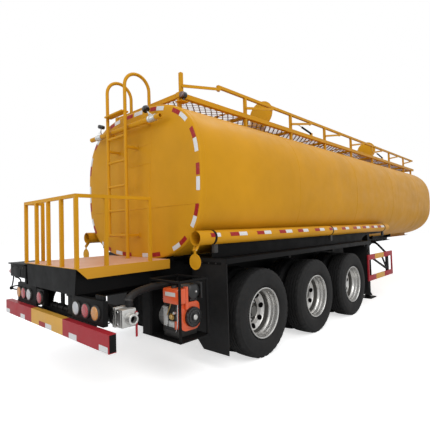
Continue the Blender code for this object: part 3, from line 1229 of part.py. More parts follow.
def build_fenders():
    """Long flat mudguards with a lip, a flap behind and a shorter one in front, on arms from the frame."""
    for side, label in ((1, "left"), (-1, "right")):
        low_y, high_y = span(side, FENDER_INNER_Y, FENDER_OUTER_Y)
        low_z = FENDER_TOP_Z - FENDER_THICKNESS
        pieces = [block((FENDER_REAR_X, low_y, low_z), (FENDER_FRONT_X, high_y, FENDER_TOP_Z))]
        lip_y = side * (FENDER_OUTER_Y - FENDER_THICKNESS / 2)
        pieces.append(block((FENDER_REAR_X, lip_y - FENDER_THICKNESS / 2, FENDER_TOP_Z - FENDER_LIP_HEIGHT),
                            (FENDER_FRONT_X, lip_y + FENDER_THICKNESS / 2, FENDER_TOP_Z)))
        flap_top_z = FENDER_TOP_Z - FENDER_THICKNESS / 2
        flap_outer_y = FENDER_OUTER_Y - FENDER_THICKNESS / 2
        outline = [(FLAP_INNER_Y, flap_top_z), (flap_outer_y, flap_top_z), (flap_outer_y, FLAP_BOTTOM_Z),
                   (FLAP_INNER_Y + FLAP_CUT, FLAP_BOTTOM_Z), (FLAP_INNER_Y, FLAP_BOTTOM_Z + FLAP_CUT)]
        for start_x in (FENDER_REAR_X + FENDER_THICKNESS, FENDER_FRONT_X - FENDER_THICKNESS - FLAP_THICKNESS):
            pieces.append(plate(mirrored(outline, side), FLAP_THICKNESS, "X", start_x))
        arm_top = low_z + LAP / 2
        for x in FENDER_ARM_XS:
            arm_low, arm_high = span(side, FRAME_Y + FLANGE_WIDTH / 2 + GAP, FENDER_OUTER_Y - OVERRUN)
            pieces.append(block((x - FENDER_ARM_SIZE / 2, arm_low, FRAME_TOP_Z - FENDER_ARM_SIZE),
                                (x + FENDER_ARM_SIZE / 2, arm_high, arm_top)))
        node(f"fender_{label}", pieces, BLACK)


def build_side_guards(make_clearance):
    """Barred guards ahead of the wheels, on bent arms from the tank's side."""
    for side, label in ((1, "left"), (-1, "right")):
        low_y, high_y = span(side, SIDE_GUARD_Y - SIDE_GUARD_BAR_THICKNESS, SIDE_GUARD_Y)
        rear_x = SIDE_GUARD_REAR_X
        front_x = SIDE_GUARD_FRONT_X
        bar = SIDE_GUARD_BAR_HEIGHT
        pieces = [
            block((rear_x, low_y, SIDE_GUARD_TOP_Z - bar), (front_x, high_y, SIDE_GUARD_TOP_Z)),
            block((rear_x, low_y, SIDE_GUARD_BOTTOM_Z), (front_x, high_y, SIDE_GUARD_BOTTOM_Z + bar)),
            block((rear_x, low_y, SIDE_GUARD_BOTTOM_Z), (rear_x + bar / 2, high_y, SIDE_GUARD_TOP_Z)),
            block((front_x - bar / 2, low_y, SIDE_GUARD_BOTTOM_Z), (front_x, high_y, SIDE_GUARD_TOP_Z)),
        ]
        inner_y = side * (SIDE_GUARD_Y - SIDE_GUARD_BAR_THICKNESS)
        arm = SIDE_GUARD_ARM_SIZE
        for x in SIDE_GUARD_ARM_XS:
            post_y = inner_y - side * arm / 2
            bend = (x, side * SIDE_GUARD_ARM_BEND_Y, SIDE_GUARD_ARM_Z)
            pieces.append(block((x - arm / 2, post_y - arm / 2 - LAP, SIDE_GUARD_BOTTOM_Z + LAP),
                                (x + arm / 2, post_y + arm / 2 + LAP, SIDE_GUARD_TOP_Z - LAP)))
            pieces.append(strut((x, post_y, SIDE_GUARD_TOP_Z - arm), bend, arm, arm))
            pieces.append(block((x - arm / 2, min(bend[1], side * (FRAME_Y + FLANGE_WIDTH / 2 + GAP)),
                                 SIDE_GUARD_ARM_Z - arm / 2),
                                (x + arm / 2, max(bend[1], side * (FRAME_Y + FLANGE_WIDTH / 2 + GAP)),
                                 FRAME_TOP_Z)))
        brace_low = (SIDE_GUARD_ARM_XS[-1], inner_y, SIDE_GUARD_BOTTOM_Z + bar)
        for x in (rear_x + bar, (rear_x + front_x) / 2):
            pieces.append(strut((x, inner_y, SIDE_GUARD_TOP_Z - bar / 2), brace_low, arm / 2, arm / 2))
        reservoir_x = SIDE_GUARD_ARM_XS[0]
        pieces.append(rod((reservoir_x, side * RESERVOIR_INNER_Y, SIDE_GUARD_ARM_Z),
                          (reservoir_x, side * RESERVOIR_OUTER_Y, SIDE_GUARD_ARM_Z), RESERVOIR_RADIUS, 16))
        node(f"side_guard_{label}", pieces, RED)


def build_landing_gear(clearance_of_tank):
    """Two legs wound down to the floor, tied by a cross beam and a shaft."""
    pieces = []
    half = LEG_SIZE / 2
    inner_half = LEG_INNER_SIZE / 2
    for side in (-1, 1):
        y = side * LEG_Y
        pieces.append(block((LEG_X - half, y - half, LEG_SLEEVE_BOTTOM_Z), (LEG_X + half, y + half, LEG_TOP_Z)))
        pieces.append(block((LEG_X - inner_half, y - inner_half, FOOT_HEIGHT / 2),
                            (LEG_X + inner_half, y + inner_half, LEG_SLEEVE_BOTTOM_Z + LAP)))
        pieces.append(block((LEG_X - FOOT_LENGTH / 2, y - FOOT_WIDTH / 2, 0),
                            (LEG_X + FOOT_LENGTH / 2, y + FOOT_WIDTH / 2, FOOT_HEIGHT)))
    cross_half = LEG_CROSS_SIZE / 2
    cross_top = FRAME_TOP_Z - FRAME_DEPTH - GAP
    pieces.append(block((LEG_X - cross_half, -LEG_Y, cross_top - LEG_CROSS_SIZE), (LEG_X + cross_half, LEG_Y, cross_top)))
    pieces.append(rod((LEG_X, -LEG_Y, LEG_SHAFT_Z), (LEG_X, LEG_Y, LEG_SHAFT_Z), LEG_SHAFT_RADIUS, CYLINDER_FACETS))
    node("landing_gear", pieces, BLACK, [clearance_of_tank])


def build_kingpin_plate(clearance_of_tank):
    """Coupler plate with the kingpin below and ribs up to the tank."""
    top_z = COUPLER_BOTTOM_Z + COUPLER_THICKNESS
    pieces = [block((COUPLER_REAR_X, -COUPLER_HALF_WIDTH, COUPLER_BOTTOM_Z), (COUPLER_FRONT_X, COUPLER_HALF_WIDTH, top_z))]
    half_rib = COUPLER_RIB_THICKNESS / 2
    for y in (-FRAME_Y, 0, FRAME_Y):
        pieces.append(block((COUPLER_REAR_X, y - half_rib, top_z - LAP), (COUPLER_FRONT_X, y + half_rib, COUPLER_RIB_TOP_Z)))
    pieces.append(rod((KINGPIN_X, 0, COUPLER_BOTTOM_Z + LAP), (KINGPIN_X, 0, COUPLER_BOTTOM_Z - KINGPIN_LENGTH),
                      KINGPIN_RADIUS, 16))
    node("kingpin_plate", pieces, YELLOW, [clearance_of_tank])


def build_pump_cage():
    """Tube cage on a tray under the right rear corner, on two lugs from the beam."""
    rear_x = PUMP_SET_REAR_X
    front_x = PUMP_SET_FRONT_X
    outer_y = -PUMP_SET_OUTER_Y
    cage_inner_y = -CAGE_INNER_Y
    radius = CAGE_TUBE_RADIUS
    pieces = [block((rear_x, outer_y, TRAY_Z), (front_x, -PUMP_SET_INNER_Y, TRAY_Z + TRAY_THICKNESS))]
    inset = radius + LAP
    corners = [(rear_x + inset, outer_y + inset), (front_x - inset, outer_y + inset),
               (front_x - inset, cage_inner_y), (rear_x + inset, cage_inner_y)]
    for x, y in corners:
        pieces.append(rod((x, y, TRAY_Z + LAP), (x, y, CAGE_TOP_Z), radius, CAGE_TUBE_FACETS))
    for (x0, y0), (x1, y1) in zip(corners, corners[1:] + corners[:1]):
        pieces.append(rod((x0, y0, CAGE_TOP_Z - radius), (x1, y1, CAGE_TOP_Z - radius), radius, CAGE_TUBE_FACETS))
    flange_edge = -FRAME_Y - FLANGE_WIDTH / 2 - GAP
    for x in (rear_x + inset, front_x - inset):
        pieces.append(block((x - radius + LAP, cage_inner_y, FRAME_BOTTOM_Z),
                            (x + radius - LAP, flange_edge, FRAME_BOTTOM_Z + FLANGE_THICKNESS)))
    node("pump_cage", pieces, BLACK)


def build_engine():
    """Engine on the tray with a round starter, and its fuel tank and air filter on top."""
    tray_top = TRAY_Z + TRAY_THICKNESS + GAP
    low = ENGINE_LOW
    high = ENGINE_HIGH
    pieces = [
        block(low, high),
        block((low[0] + LAP, low[1] + OVERRUN, tray_top), (high[0] - LAP, high[1] - LAP, low[2] + LAP)),
        rod((STARTER_X, low[1] + LAP, STARTER_Z), (STARTER_X, low[1] - STARTER_REACH, STARTER_Z), STARTER_RADIUS, 20),
    ]
    node("pump_engine", pieces, ORANGE)
    node("fuel_tank", [block((*FUEL_TANK_LOW, high[2] + GAP), FUEL_TANK_HIGH)], ORANGE)
    node("air_filter", [block((*AIR_FILTER_LOW, high[2] + GAP), AIR_FILTER_HIGH)], BLACK)


def build_pump():
    """Round pump on the engine's inner end, on a foot, with a port on top for the hose."""
    tray_top = TRAY_Z + TRAY_THICKNESS + GAP
    start_y = ENGINE_HIGH[1] + GAP
    end_y = ENGINE_HIGH[1] + PUMP_LENGTH
    half_foot = PUMP_RADIUS / 2
    pieces = [
        rod((PUMP_X, start_y, PUMP_Z), (PUMP_X, end_y, PUMP_Z), PUMP_RADIUS, 20),
        block((PUMP_X - half_foot, start_y + OVERRUN, tray_top), (PUMP_X + half_foot, end_y - LAP, PUMP_Z)),
        rod((PUMP_X, PUMP_PORT_Y, PUMP_Z), (PUMP_X, PUMP_PORT_Y, PUMP_PORT_TOP_Z), PUMP_PORT_RADIUS, 16),
    ]
    node("water_pump", pieces, SILVER)


def build_discharge():
    """Pipe under the rear end of the right beam, a valve block with a lever at its end, and the pump's hose."""
    block_middle_x = (VALVE_BLOCK_LOW[0] + VALVE_BLOCK_HIGH[0]) / 2
    pieces = [rod((PIPE_X, PIPE_INNER_Y, PIPE_Z), (PIPE_X, PIPE_OUTER_Y + GAP, PIPE_Z), PIPE_RADIUS, 16)]
    half = PIPE_HANGER_SIZE / 2
    for y in (-FRAME_Y - half, -FRAME_Y + PIPE_HANGER_SIZE + half):
        pieces.append(block((PIPE_X - half, y - half, PIPE_Z), (PIPE_X + half, y + half, FRAME_BOTTOM_Z - GAP)))
    node("discharge_pipe", pieces, BLACK)

    low = VALVE_BLOCK_LOW
    high_x, high_z = VALVE_BLOCK_HIGH
    pieces = [
        block(low, (high_x, PIPE_OUTER_Y, high_z)),
        rod((block_middle_x, low[1] + LAP, PIPE_Z), (block_middle_x, low[1] - OUTLET_LENGTH, PIPE_Z), OUTLET_RADIUS, 16),
    ]
    bore = rod((block_middle_x, low[1] + OVERRUN, PIPE_Z), (block_middle_x, low[1] - 2 * OUTLET_LENGTH, PIPE_Z),
               OUTLET_BORE_RADIUS, 16)
    node("valve_block", pieces, SILVER, [bore])

    lever_y = low[1] - GAP
    node("valve_lever", [block((LEVER_X - LEVER_WIDTH / 2, lever_y - LEVER_THICKNESS, LEVER_BOTTOM_Z),
                               (LEVER_X + LEVER_WIDTH / 2, lever_y, LEVER_TOP_Z))], RED)

    start = (PUMP_X, PUMP_PORT_Y, PUMP_PORT_TOP_Z + GAP)
    end_x, end_y, _ = HOSE_POINTS[-1]
    end = (end_x, end_y, high_z + GAP)
    node("pump_hose", [pipe([start, *HOSE_POINTS, end], HOSE_RADIUS)], BLACK)


def build_left_box():
    """Box with an overhanging lid against the platform's left fascia, and a marker lamp on its outer end."""
    inner_y = DECK_HALF_WIDTH + GAP
    overhang = BOX_LID_OVERHANG
    pieces = [
        block((BOX_REAR_X + overhang, inner_y, BOX_BOTTOM_Z), (BOX_FRONT_X, BOX_OUTER_Y - overhang, BOX_TOP_Z)),
        block((BOX_REAR_X, inner_y, BOX_TOP_Z - LAP), (BOX_FRONT_X + overhang, BOX_OUTER_Y, BOX_TOP_Z + BOX_LID_THICKNESS)),
        rod((MARKER_X, BOX_OUTER_Y - OVERRUN, MARKER_Z), (MARKER_X, MARKER_OUTER_Y, MARKER_Z), MARKER_RADIUS, 16),
    ]
    node("left_box", pieces, BLACK)


def main():
    """Builds every sub-part."""
    def clearance():
        return tank_body(GAP)

    build_tank()
    build_necks(clearance())
    build_lids()
    build_frame(clearance())
    build_suspension()
    build_axles()
    build_wheels()
    build_walkway(clearance())
    build_grating()
    build_handrail()
    build_cylinders()
    build_ladder(clearance())
    build_spray_pipe(clearance())
    build_platform()
    build_rear_panel()
    build_guard_rail()
    build_bumper()
    build_lamps()
    build_hose_tubes(clearance)
    build_caps()
    build_fenders()
    build_side_guards(clearance)
    build_landing_gear(clearance())
    build_kingpin_plate(clearance())
    build_pump_cage()
    build_engine()
    build_pump()
    build_discharge()
    build_left_box()


main()
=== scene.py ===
"""Looks of the water tank semi-trailer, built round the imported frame.

Metres, +X forward, +Y left, +Z up. Places are written from the rear axle, as in the part's source,
and Form.piece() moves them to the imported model's origin.
"""

import math

import bmesh
import bpy
from mathutils import Matrix, Vector


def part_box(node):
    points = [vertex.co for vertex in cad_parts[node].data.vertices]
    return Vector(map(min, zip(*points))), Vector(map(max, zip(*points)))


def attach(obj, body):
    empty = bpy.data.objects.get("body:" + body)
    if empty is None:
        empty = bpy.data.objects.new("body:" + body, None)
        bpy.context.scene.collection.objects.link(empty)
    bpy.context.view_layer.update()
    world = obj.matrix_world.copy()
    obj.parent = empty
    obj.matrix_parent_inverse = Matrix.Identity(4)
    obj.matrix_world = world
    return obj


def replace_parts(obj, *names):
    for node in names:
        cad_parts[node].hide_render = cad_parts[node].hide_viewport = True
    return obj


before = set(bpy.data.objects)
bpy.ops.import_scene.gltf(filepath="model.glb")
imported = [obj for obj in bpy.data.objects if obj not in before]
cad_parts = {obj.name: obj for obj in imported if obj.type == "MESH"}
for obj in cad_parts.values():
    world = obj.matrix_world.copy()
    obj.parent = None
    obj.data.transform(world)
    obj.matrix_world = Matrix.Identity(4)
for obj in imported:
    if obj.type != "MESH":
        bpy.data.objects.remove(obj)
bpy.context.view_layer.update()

# Places shared with the part's source
ORIGIN = Vector((-3.29, 0, 0))
AXLE_XS = (0, 1.31, 2.62)
AXLE_Z = 0.53039
TYRE_RADIUS = 0.537
TYRE_WIDTH = 0.30
TWIN_GAP = 0.045
TWIN_Y = 0.9225
TANK_REAR_X = -0.97
TANK_BARREL_FRONT_X = 8.22
TANK_HALF_WIDTH = 1.19
TANK_HALF_HEIGHT = 0.93
TANK_CENTRE_Z = 2.15
TANK_ROUNDNESS = 2.8
MANHOLE_XS = (1.42, 6.42)
NECK_TOP_Z = 3.30
LID_REACH = 0.30
LID_HINGE_Z = NECK_TOP_Z + 0.012

UP, LEFT, RIGHT, FORWARD, REARWARD = (0, 0, 1), (0, 1, 0), (0, -1, 0), (1, 0, 0), (-1, 0, 0)
SIDES = ((1, "left"), (-1, "right"))
WHITE = (1, 1, 1, 1)
PAINT_YELLOW = (0.605, 0.285, 0.0105)
MATERIALS = {}


class Graph:
    """A node graph with short calls for the nodes used here."""

    def __init__(self, owner):
        owner.use_nodes = True
        self.tree = owner.node_tree
        self.shader = self.tree.nodes.get("Principled BSDF")

    def feed(self, socket, value):
        """Links a socket to another one, or gives it a value."""
        if hasattr(value, "links"):
            self.tree.links.new(value, socket)
        else:
            socket.default_value = value

    def add(self, kind, inputs, **values):
        node = self.tree.nodes.new(kind)
        for key, value in values.items():
            setattr(node, key, value)
        for socket, value in inputs.items():
            self.feed(node.inputs[socket], value)
        return node

    def place(self):
        return self.add("ShaderNodeTexCoord", {}).outputs["Object"]

    def height(self):
        return self.add("ShaderNodeSeparateXYZ", {"Vector": self.place()}).outputs["Z"]

    def noise(self, scale, detail=4.0, rough=0.6, stretch=(1, 1, 1)):
        mapping = self.add("ShaderNodeMapping", {"Vector": self.place(), "Scale": stretch})
        inputs = {"Vector": mapping.outputs["Vector"], "Scale": scale, "Detail": detail, "Roughness": rough}
        return self.add("ShaderNodeTexNoise", inputs).outputs["Fac"]

    def ramp(self, source, low, high, low_colour, high_colour):
        node = self.add("ShaderNodeValToRGB", {"Fac": source})
        for stop, place, colour in zip(node.color_ramp.elements, (low, high), (low_colour, high_colour)):
            stop.position = place
            stop.color = (*colour, 1)
        return node.outputs["Color"]

    def mix(self, share, first, second):
        """Mixes two colours. The node's colour sockets are inputs 6 and 7 and output 2."""
        first, second = (c if hasattr(c, "links") else (*c, 1) for c in (first, second))
        return self.add("ShaderNodeMix", {0: share, 6: first, 7: second}, data_type="RGBA").outputs[2]

    def span(self, source, low, high, to_low, to_high):
        inputs = {"Value": source, "From Min": low, "From Max": high, "To Min": to_low, "To Max": to_high}
        return self.add("ShaderNodeMapRange", inputs).outputs["Result"]

    def bump(self, source, distance, strength):
        node = self.add("ShaderNodeBump", {"Height": source, "Distance": distance, "Strength": strength})
        self.set(Normal=node.outputs["Normal"])

    def set(self, **values):
        for key, value in values.items():
            self.feed(self.shader.inputs[key.replace("_", " ")], value)


def finish(name):
    """The graph of a new material, which is kept under its name."""
    MATERIALS[name] = bpy.data.materials.new(name)
    return Graph(MATERIALS[name])


def shade(colour, share):
    """A colour made darker or lighter."""
    return tuple(c * share for c in colour)


def painted(name, colour, dusty, roughness, dirt_top, dirt, shine):
    """Paint with faint patches, road dust that thins out upwards and a slight orange peel."""
    graph = finish(name)
    base = graph.ramp(graph.noise(1.3, 5), 0.3, 0.7, shade(colour, 0.9), shade(colour, 1.07))
    grime = graph.span(graph.noise(9, 6, 0.7), 0.38, 0.72, 0, 1)
    by_height = graph.span(graph.height(), 0.1, dirt_top, dirt, 0)
    amount = graph.add("ShaderNodeMath", {0: grime, 1: by_height}, operation="MULTIPLY").outputs[0]
    graph.bump(graph.noise(60, 2), 0.0006, 0.5)
    rough = graph.span(graph.noise(5, 5), 0.3, 0.7, roughness - 0.06, roughness + 0.1)
    graph.set(Base_Color=graph.mix(amount, base, dusty), Roughness=rough, Specular_IOR_Level=shine)


def tape(name, colour):
    """Retroreflective tape with a fine prism pattern."""
    graph = finish(name)
    cells = graph.add("ShaderNodeTexVoronoi", {"Scale": 220, "Vector": graph.place()},
                      feature="DISTANCE_TO_EDGE")
    edge = graph.ramp(cells.outputs["Distance"], 0, 0.12, shade(colour, 0.82), colour)
    worn = graph.mix(graph.span(graph.noise(25, 4), 0.55, 0.75, 0, 0.15), edge, (0.5, 0.42, 0.34))
    graph.bump(cells.outputs["Distance"], 0.0004, 0.4)
    graph.set(Base_Color=worn, Roughness=0.3, Specular_IOR_Level=0.15)


def rubber(name, colour, roughness):
    """Rubber with a trace of dust."""
    graph = finish(name)
    base = graph.ramp(graph.noise(14, 6), 0.3, 0.75, shade(colour, 0.8), shade(colour, 1.5))
    dust = graph.mix(graph.span(graph.noise(3.5, 5), 0.45, 0.8, 0, 0.22), base, (0.032, 0.028, 0.022))
    graph.bump(graph.noise(180, 3), 0.0008, 0.5)
    graph.set(Base_Color=dust, Roughness=roughness, Specular_IOR_Level=0.3)


def metal(name, colour, roughness, grain, metallic=1.0, dirt=(0.12, 0.11, 0.1)):
    """Bare metal with dirty patches."""
    graph = finish(name)
    base = graph.ramp(graph.noise(7, 5), 0.3, 0.7, shade(colour, 0.82), colour)
    worn = graph.mix(graph.span(graph.noise(18, 5), 0.55, 0.8, 0, 0.4), base, dirt)
    rough = graph.span(graph.noise(grain, 3), 0.3, 0.7, roughness - 0.08, roughness + 0.12)
    graph.bump(graph.noise(grain, 3), 0.0005, 0.4)
    graph.set(Base_Color=worn, Roughness=rough, Metallic=metallic)


def plastic(name, colour, roughness):
    """Moulded plastic with a fine grain."""
    graph = finish(name)
    base = graph.ramp(graph.noise(5, 4), 0.3, 0.7, shade(colour, 0.9), colour)
    graph.bump(graph.noise(240, 2), 0.0003, 0.4)
    graph.set(Base_Color=base, Roughness=roughness, Coat_Weight=0.2)


def lens(name, colour):
    """A ribbed lamp lens."""
    graph = finish(name)
    ribs = graph.add("ShaderNodeTexWave", {"Scale": 55, "Distortion": 0, "Vector": graph.place()},
                     wave_type="BANDS", bands_direction="Z").outputs["Fac"]
    graph.bump(ribs, 0.0012, 0.6)
    graph.set(Base_Color=graph.ramp(ribs, 0.1, 0.9, shade(colour, 0.7), colour), Roughness=0.12,
              Coat_Weight=0.6)


def deck_plate():
    """Trodden deck plate whose paint has worn to a pinkish primer, with scuffs, and painted edges."""
    graph = finish("deck_plate")
    base = graph.ramp(graph.noise(4, 6, 0.65), 0.35, 0.7, (0.66, 0.34, 0.20), (0.72, 0.43, 0.28))
    scuffs = graph.noise(7, 6, 0.75, (0.6, 3.0, 1.0))
    worn = graph.mix(graph.span(scuffs, 0.62, 0.75, 0, 0.8), base, (0.26, 0.2, 0.15))
    facing = graph.add("ShaderNodeNewGeometry", {}).outputs["Normal"]
    up = graph.add("ShaderNodeSeparateXYZ", {"Vector": facing}).outputs["Z"]
    graph.bump(graph.noise(70, 3), 0.0008, 0.4)
    colour = graph.mix(graph.span(up, 0.5, 0.9, 0, 1), PAINT_YELLOW, worn)
    graph.set(Base_Color=colour, Roughness=0.5, Specular_IOR_Level=0.35)


def make_materials():
    """Every finish of the trailer."""
    painted("yellow", PAINT_YELLOW, (0.34, 0.16, 0.03), 0.40, 1.2, 0.08, 0.10)
    painted("black", (0.0038, 0.0038, 0.004), (0.012, 0.011, 0.0098), 0.5, 1.0, 0.5, 0.12)
    painted("red", (0.36, 0.014, 0.024), (0.25, 0.07, 0.06), 0.4, 1.0, 0.3, 0.25)
    painted("bumper_yellow", (0.66, 0.35, 0.045), (0.4, 0.25, 0.1), 0.4, 1.0, 0.4, 0.35)
    # Near-black for holes and bores: painted shade where their inside would show
    painted("hole_shade", (0.002, 0.002, 0.002), (0.004, 0.004, 0.004), 0.9, 1.0, 0.1, 0.05)
    metal("rim_silver", (0.60, 0.595, 0.58), 0.30, 70, 0.82, (0.26, 0.22, 0.17))
    metal("disc_silver", (0.36, 0.35, 0.335), 0.34, 70, 0.8, (0.17, 0.145, 0.11))
    metal("hub_grey", (0.13, 0.128, 0.12), 0.42, 80, 0.6, (0.06, 0.05, 0.04))
    # Darker steel for the rim's well: painted shade in the well
    metal("rim_well_shade", (0.15, 0.145, 0.135), 0.45, 80, 0.6, (0.08, 0.07, 0.05))
    metal("mesh_steel", (0.30, 0.21, 0.205), 0.55, 90, 0.3, (0.14, 0.08, 0.07))
    metal("cast", (0.62, 0.62, 0.60), 0.42, 90, 0.75)
    metal("steel", (0.66, 0.66, 0.66), 0.22, 200)
    metal("brass", (0.62, 0.42, 0.16), 0.35, 150)
    metal("dark_cast", (0.05, 0.048, 0.046), 0.5, 90, 0.4)
    rubber("tyre", (0.0065, 0.0065, 0.0068), 0.75)
    rubber("flap_rubber", (0.006, 0.006, 0.0065), 0.65)
    rubber("hose_rubber", (0.008, 0.008, 0.0085), 0.55)
    tape("tape_red", (0.34, 0.012, 0.014))
    tape("tape_white", (0.72, 0.72, 0.72))
    plastic("orange", (0.74, 0.10, 0.022), 0.28)
    plastic("black_plastic", (0.006, 0.006, 0.0065), 0.42)
    plastic("label", (0.62, 0.60, 0.56), 0.35)
    lens("lens_dull", (0.10, 0.03, 0.022))
    lens("lens_red", (0.42, 0.012, 0.025))
    lens("lens_amber", (0.62, 0.24, 0.025))
    lens("lens_clear", (0.52, 0.53, 0.55))
    deck_plate()


def around(count, radius, first=0.0):
    """Pairs at even steps round a circle, from a first angle."""
    angles = [first + 2 * math.pi * k / count for k in range(count)]
    return [(radius * math.cos(a), radius * math.sin(a)) for a in angles]


def tilt_to(direction):
    """The turn from upright to a direction."""
    return Vector(UP).rotation_difference(Vector(direction).normalized()).to_matrix()


class Form:
    """Faces gathered for one piece, each with a material name."""

    def __init__(self):
        self.mesh = bmesh.new()
        self.names = []

    def slot(self, name):
        if name not in self.names:
            self.names.append(name)
        return self.names.index(name)

    def grid(self, rings, material, across=False, along=False, caps=False):
        """Skins equal rings of points, closed across each ring or along from the last ring to the first."""
        index = self.slot(material)
        rows = [[self.mesh.verts.new(place) for place in ring] for ring in rings]
        count = len(rows[0])
        outlines = [rows[0], rows[-1]] if caps else []
        for near, far in zip(rows, rows[1:] + (rows[:1] if along else [])):
            for i in range(count if across else count - 1):
                j = (i + 1) % count
                outlines.append((near[i], near[j], far[j], far[i]))
        for outline in outlines:
            self.mesh.faces.new(outline).material_index = index

    def box(self, corner, other, material, bevel=0.0):
        """A box between two opposite corners, with rounded edges."""
        index = self.slot(material)
        made = bmesh.ops.create_cube(self.mesh, size=1.0)["verts"]
        corner, other = Vector(corner), Vector(other)
        size = [max(abs(b - a), 1e-5) for a, b in zip(corner, other)]
        bmesh.ops.scale(self.mesh, vec=size, verts=made)
        bmesh.ops.translate(self.mesh, vec=(corner + other) / 2, verts=made)
        for face in {f for v in made for f in v.link_faces}:
            face.material_index = index
        if bevel:
            edges = list({e for v in made for e in v.link_edges})
            out = bmesh.ops.bevel(self.mesh, geom=edges, offset=min(bevel, min(size) * 0.45), segments=2,
                                  affect="EDGES", profile=0.6)
            for face in out["faces"]:
                face.material_index = index

    def bar(self, start, end, width, depth, material, bevel=0.003, up=UP):
        """A square bar between two points."""
        start, end = Vector(start), Vector(end)
        side = (end - start).cross(Vector(up)).normalized()
        top = side.cross(end - start).normalized()
        a, b, r = width / 2, depth / 2, bevel
        outline = [(a, b - r), (a - r, b), (r - a, b), (-a, b - r), (-a, r - b), (r - a, -b), (a - r, -b),
                   (a, r - b)]
        self.grid([[p + side * x + top * y for x, y in outline] for p in (start, end)], material, True,
                  caps=True)

    def tube(self, points, radius, material, sides=12, smooth_steps=0, radii=None):
        """A round tube along points, closed at its ends."""
        path = smooth_path(points, smooth_steps) if smooth_steps else [Vector(p) for p in points]
        radii = radii or [radius] * len(path)
        rings = [[p + u * a + v * b for a, b in around(sides, r)]
                 for p, (u, v), r in zip(path, path_frames(path), radii)]
        self.grid(rings, material, True, caps=True)

    def turn(self, profile, start, direction, material, facets=32, spread=None):
        """Turns (radius, height) pairs about a line. spread(step, radius, height) may change them."""
        start, tilt = Vector(start), tilt_to(direction)
        rings = []
        for k, (c, s) in enumerate(around(facets, 1.0)):
            pairs = [spread(k, r, h) if spread else (r, h) for r, h in profile]
            rings.append([start + tilt @ Vector((r * c, r * s, h)) for r, h in pairs])
        self.grid(rings, material, along=True)

    def ring(self, place, direction, inner, outer, half, material, facets, slope=0.0):
        """A band or a pin about a line, from one radius to another, its edges sloped."""
        profile = [(inner, -half), (outer, slope - half), (outer, half - slope), (inner, half)]
        self.turn(profile, place, direction, material, facets)

    def bolt(self, place, direction, size, height, material):
        """A hexagon head."""
        profile = [(0, height), (size * 0.85, height), (size, height * 0.85), (size, 0), (0, 0)]
        self.turn(profile, place, direction, material, 6)

    def prism(self, outline, low, high, material, across=True):
        """An outline thickened across the trailer, from (x, z) pairs, or along it, from (y, z) pairs."""
        rings = [[(a, c, b) if across else (c, a, b) for a, b in outline] for c in (low, high)]
        self.grid(rings, material, True, caps=True)

    def piece(self, name, smooth=35, body="trailer", origin=ORIGIN):
        """The finished piece, which rides on a body unless that is None."""
        bmesh.ops.translate(self.mesh, vec=origin, verts=self.mesh.verts)
        bmesh.ops.remove_doubles(self.mesh, verts=self.mesh.verts, dist=1e-6)
        bmesh.ops.dissolve_degenerate(self.mesh, edges=self.mesh.edges, dist=1e-7)
        bmesh.ops.recalc_face_normals(self.mesh, faces=self.mesh.faces)
        mesh = bpy.data.meshes.new(name)
        self.mesh.to_mesh(mesh)
        self.mesh.free()
        for material in self.names:
            mesh.materials.append(MATERIALS[material])
        mesh.shade_smooth()
        mesh.set_sharp_from_angle(angle=math.radians(smooth))
        thing = bpy.data.objects.new(name, mesh)
        bpy.context.scene.collection.objects.link(thing)
        if body:
            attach(thing, body)
        return thing


def smooth_path(points, steps):
    """Catmull-Rom points through a polyline."""
    path = [Vector(p) for p in points]
    out = []
    last = len(path) - 1
    for i in range(last):
        p0, p1, p2, p3 = path[max(i - 1, 0)], path[i], path[i + 1], path[min(i + 2, last)]
        for t in (s / steps for s in range(steps)):
            out.append(0.5 * (2 * p1 + (p2 - p0) * t + (2 * p0 - 5 * p1 + 4 * p2 - p3) * t * t
                              + (3 * p1 - p0 - 3 * p2 + p3) * t ** 3))
    out.append(path[-1])
    return out


def path_frames(path):
    """Two cross directions at each point that turn as little as possible."""
    frames = []
    last = len(path) - 1
    u = None
    for i, p in enumerate(path):
        ahead = path[min(i + 1, last)] - p
        behind = p - path[max(i - 1, 0)]
        along = (ahead.normalized() + behind.normalized()).normalized()
        u = u or along.orthogonal()
        u = (u - along * u.dot(along)).normalized()
        frames.append((u, along.cross(u)))
    return frames


def round_corners(points, radius, steps=5):
    """A polyline with its corners rounded."""
    points = [Vector(p) for p in points]
    out = [points[0]]
    for before, corner, after in zip(points, points[1:], points[2:]):
        r = min(radius, (corner - before).length / 2, (after - corner).length / 2)
        a = corner + (before - corner).normalized() * r
        b = corner + (after - corner).normalized() * r
        for t in (k / steps for k in range(steps + 1)):
            out.append(a * (1 - t) ** 2 + corner * 2 * t * (1 - t) + b * t * t)
    out.append(points[-1])
    return out


# Finish of each solid by the start of its name. The others are black
CAD_FINISHES = {"yellow": ("tank", "manhole", "walkway", "handrail", "ladder", "spray", "platform_guard",
                           "hose_tube", "kingpin"), "black_plastic": ("air_filter",),
                "hose_rubber": ("pump_hose",), "red": ("bumper", "side_guard", "valve_lever"),
                "orange": ("pump_engine", "fuel_tank"), "cast": ("water_pump", "valve_block"),
                "steel": ("rail_cylinder_rod",), "deck_plate": ("platform_deck",), "tyre": ("twin_wheel",),}


def paint_cad():
    """Gives each solid its finish."""
    for name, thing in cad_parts.items():
        found = [finish_name for finish_name, starts in CAD_FINISHES.items() if name.startswith(starts)]
        material = MATERIALS[(found + ["black"])[0]]
        if not thing.material_slots:
            thing.data.materials.append(material)
        for slot in thing.material_slots:
            slot.material = material


CAMERA_PLACE = (-6.92599, -3.86663, 1.59205)
CAMERA_YAW = 0.75627
CAMERA_PITCH = 0.03224
CAMERA_ROLL = -0.02769
CAMERA_FOCAL_PIXELS = 363.426
PHOTO_PIXELS = 430
SENSOR = 36.0


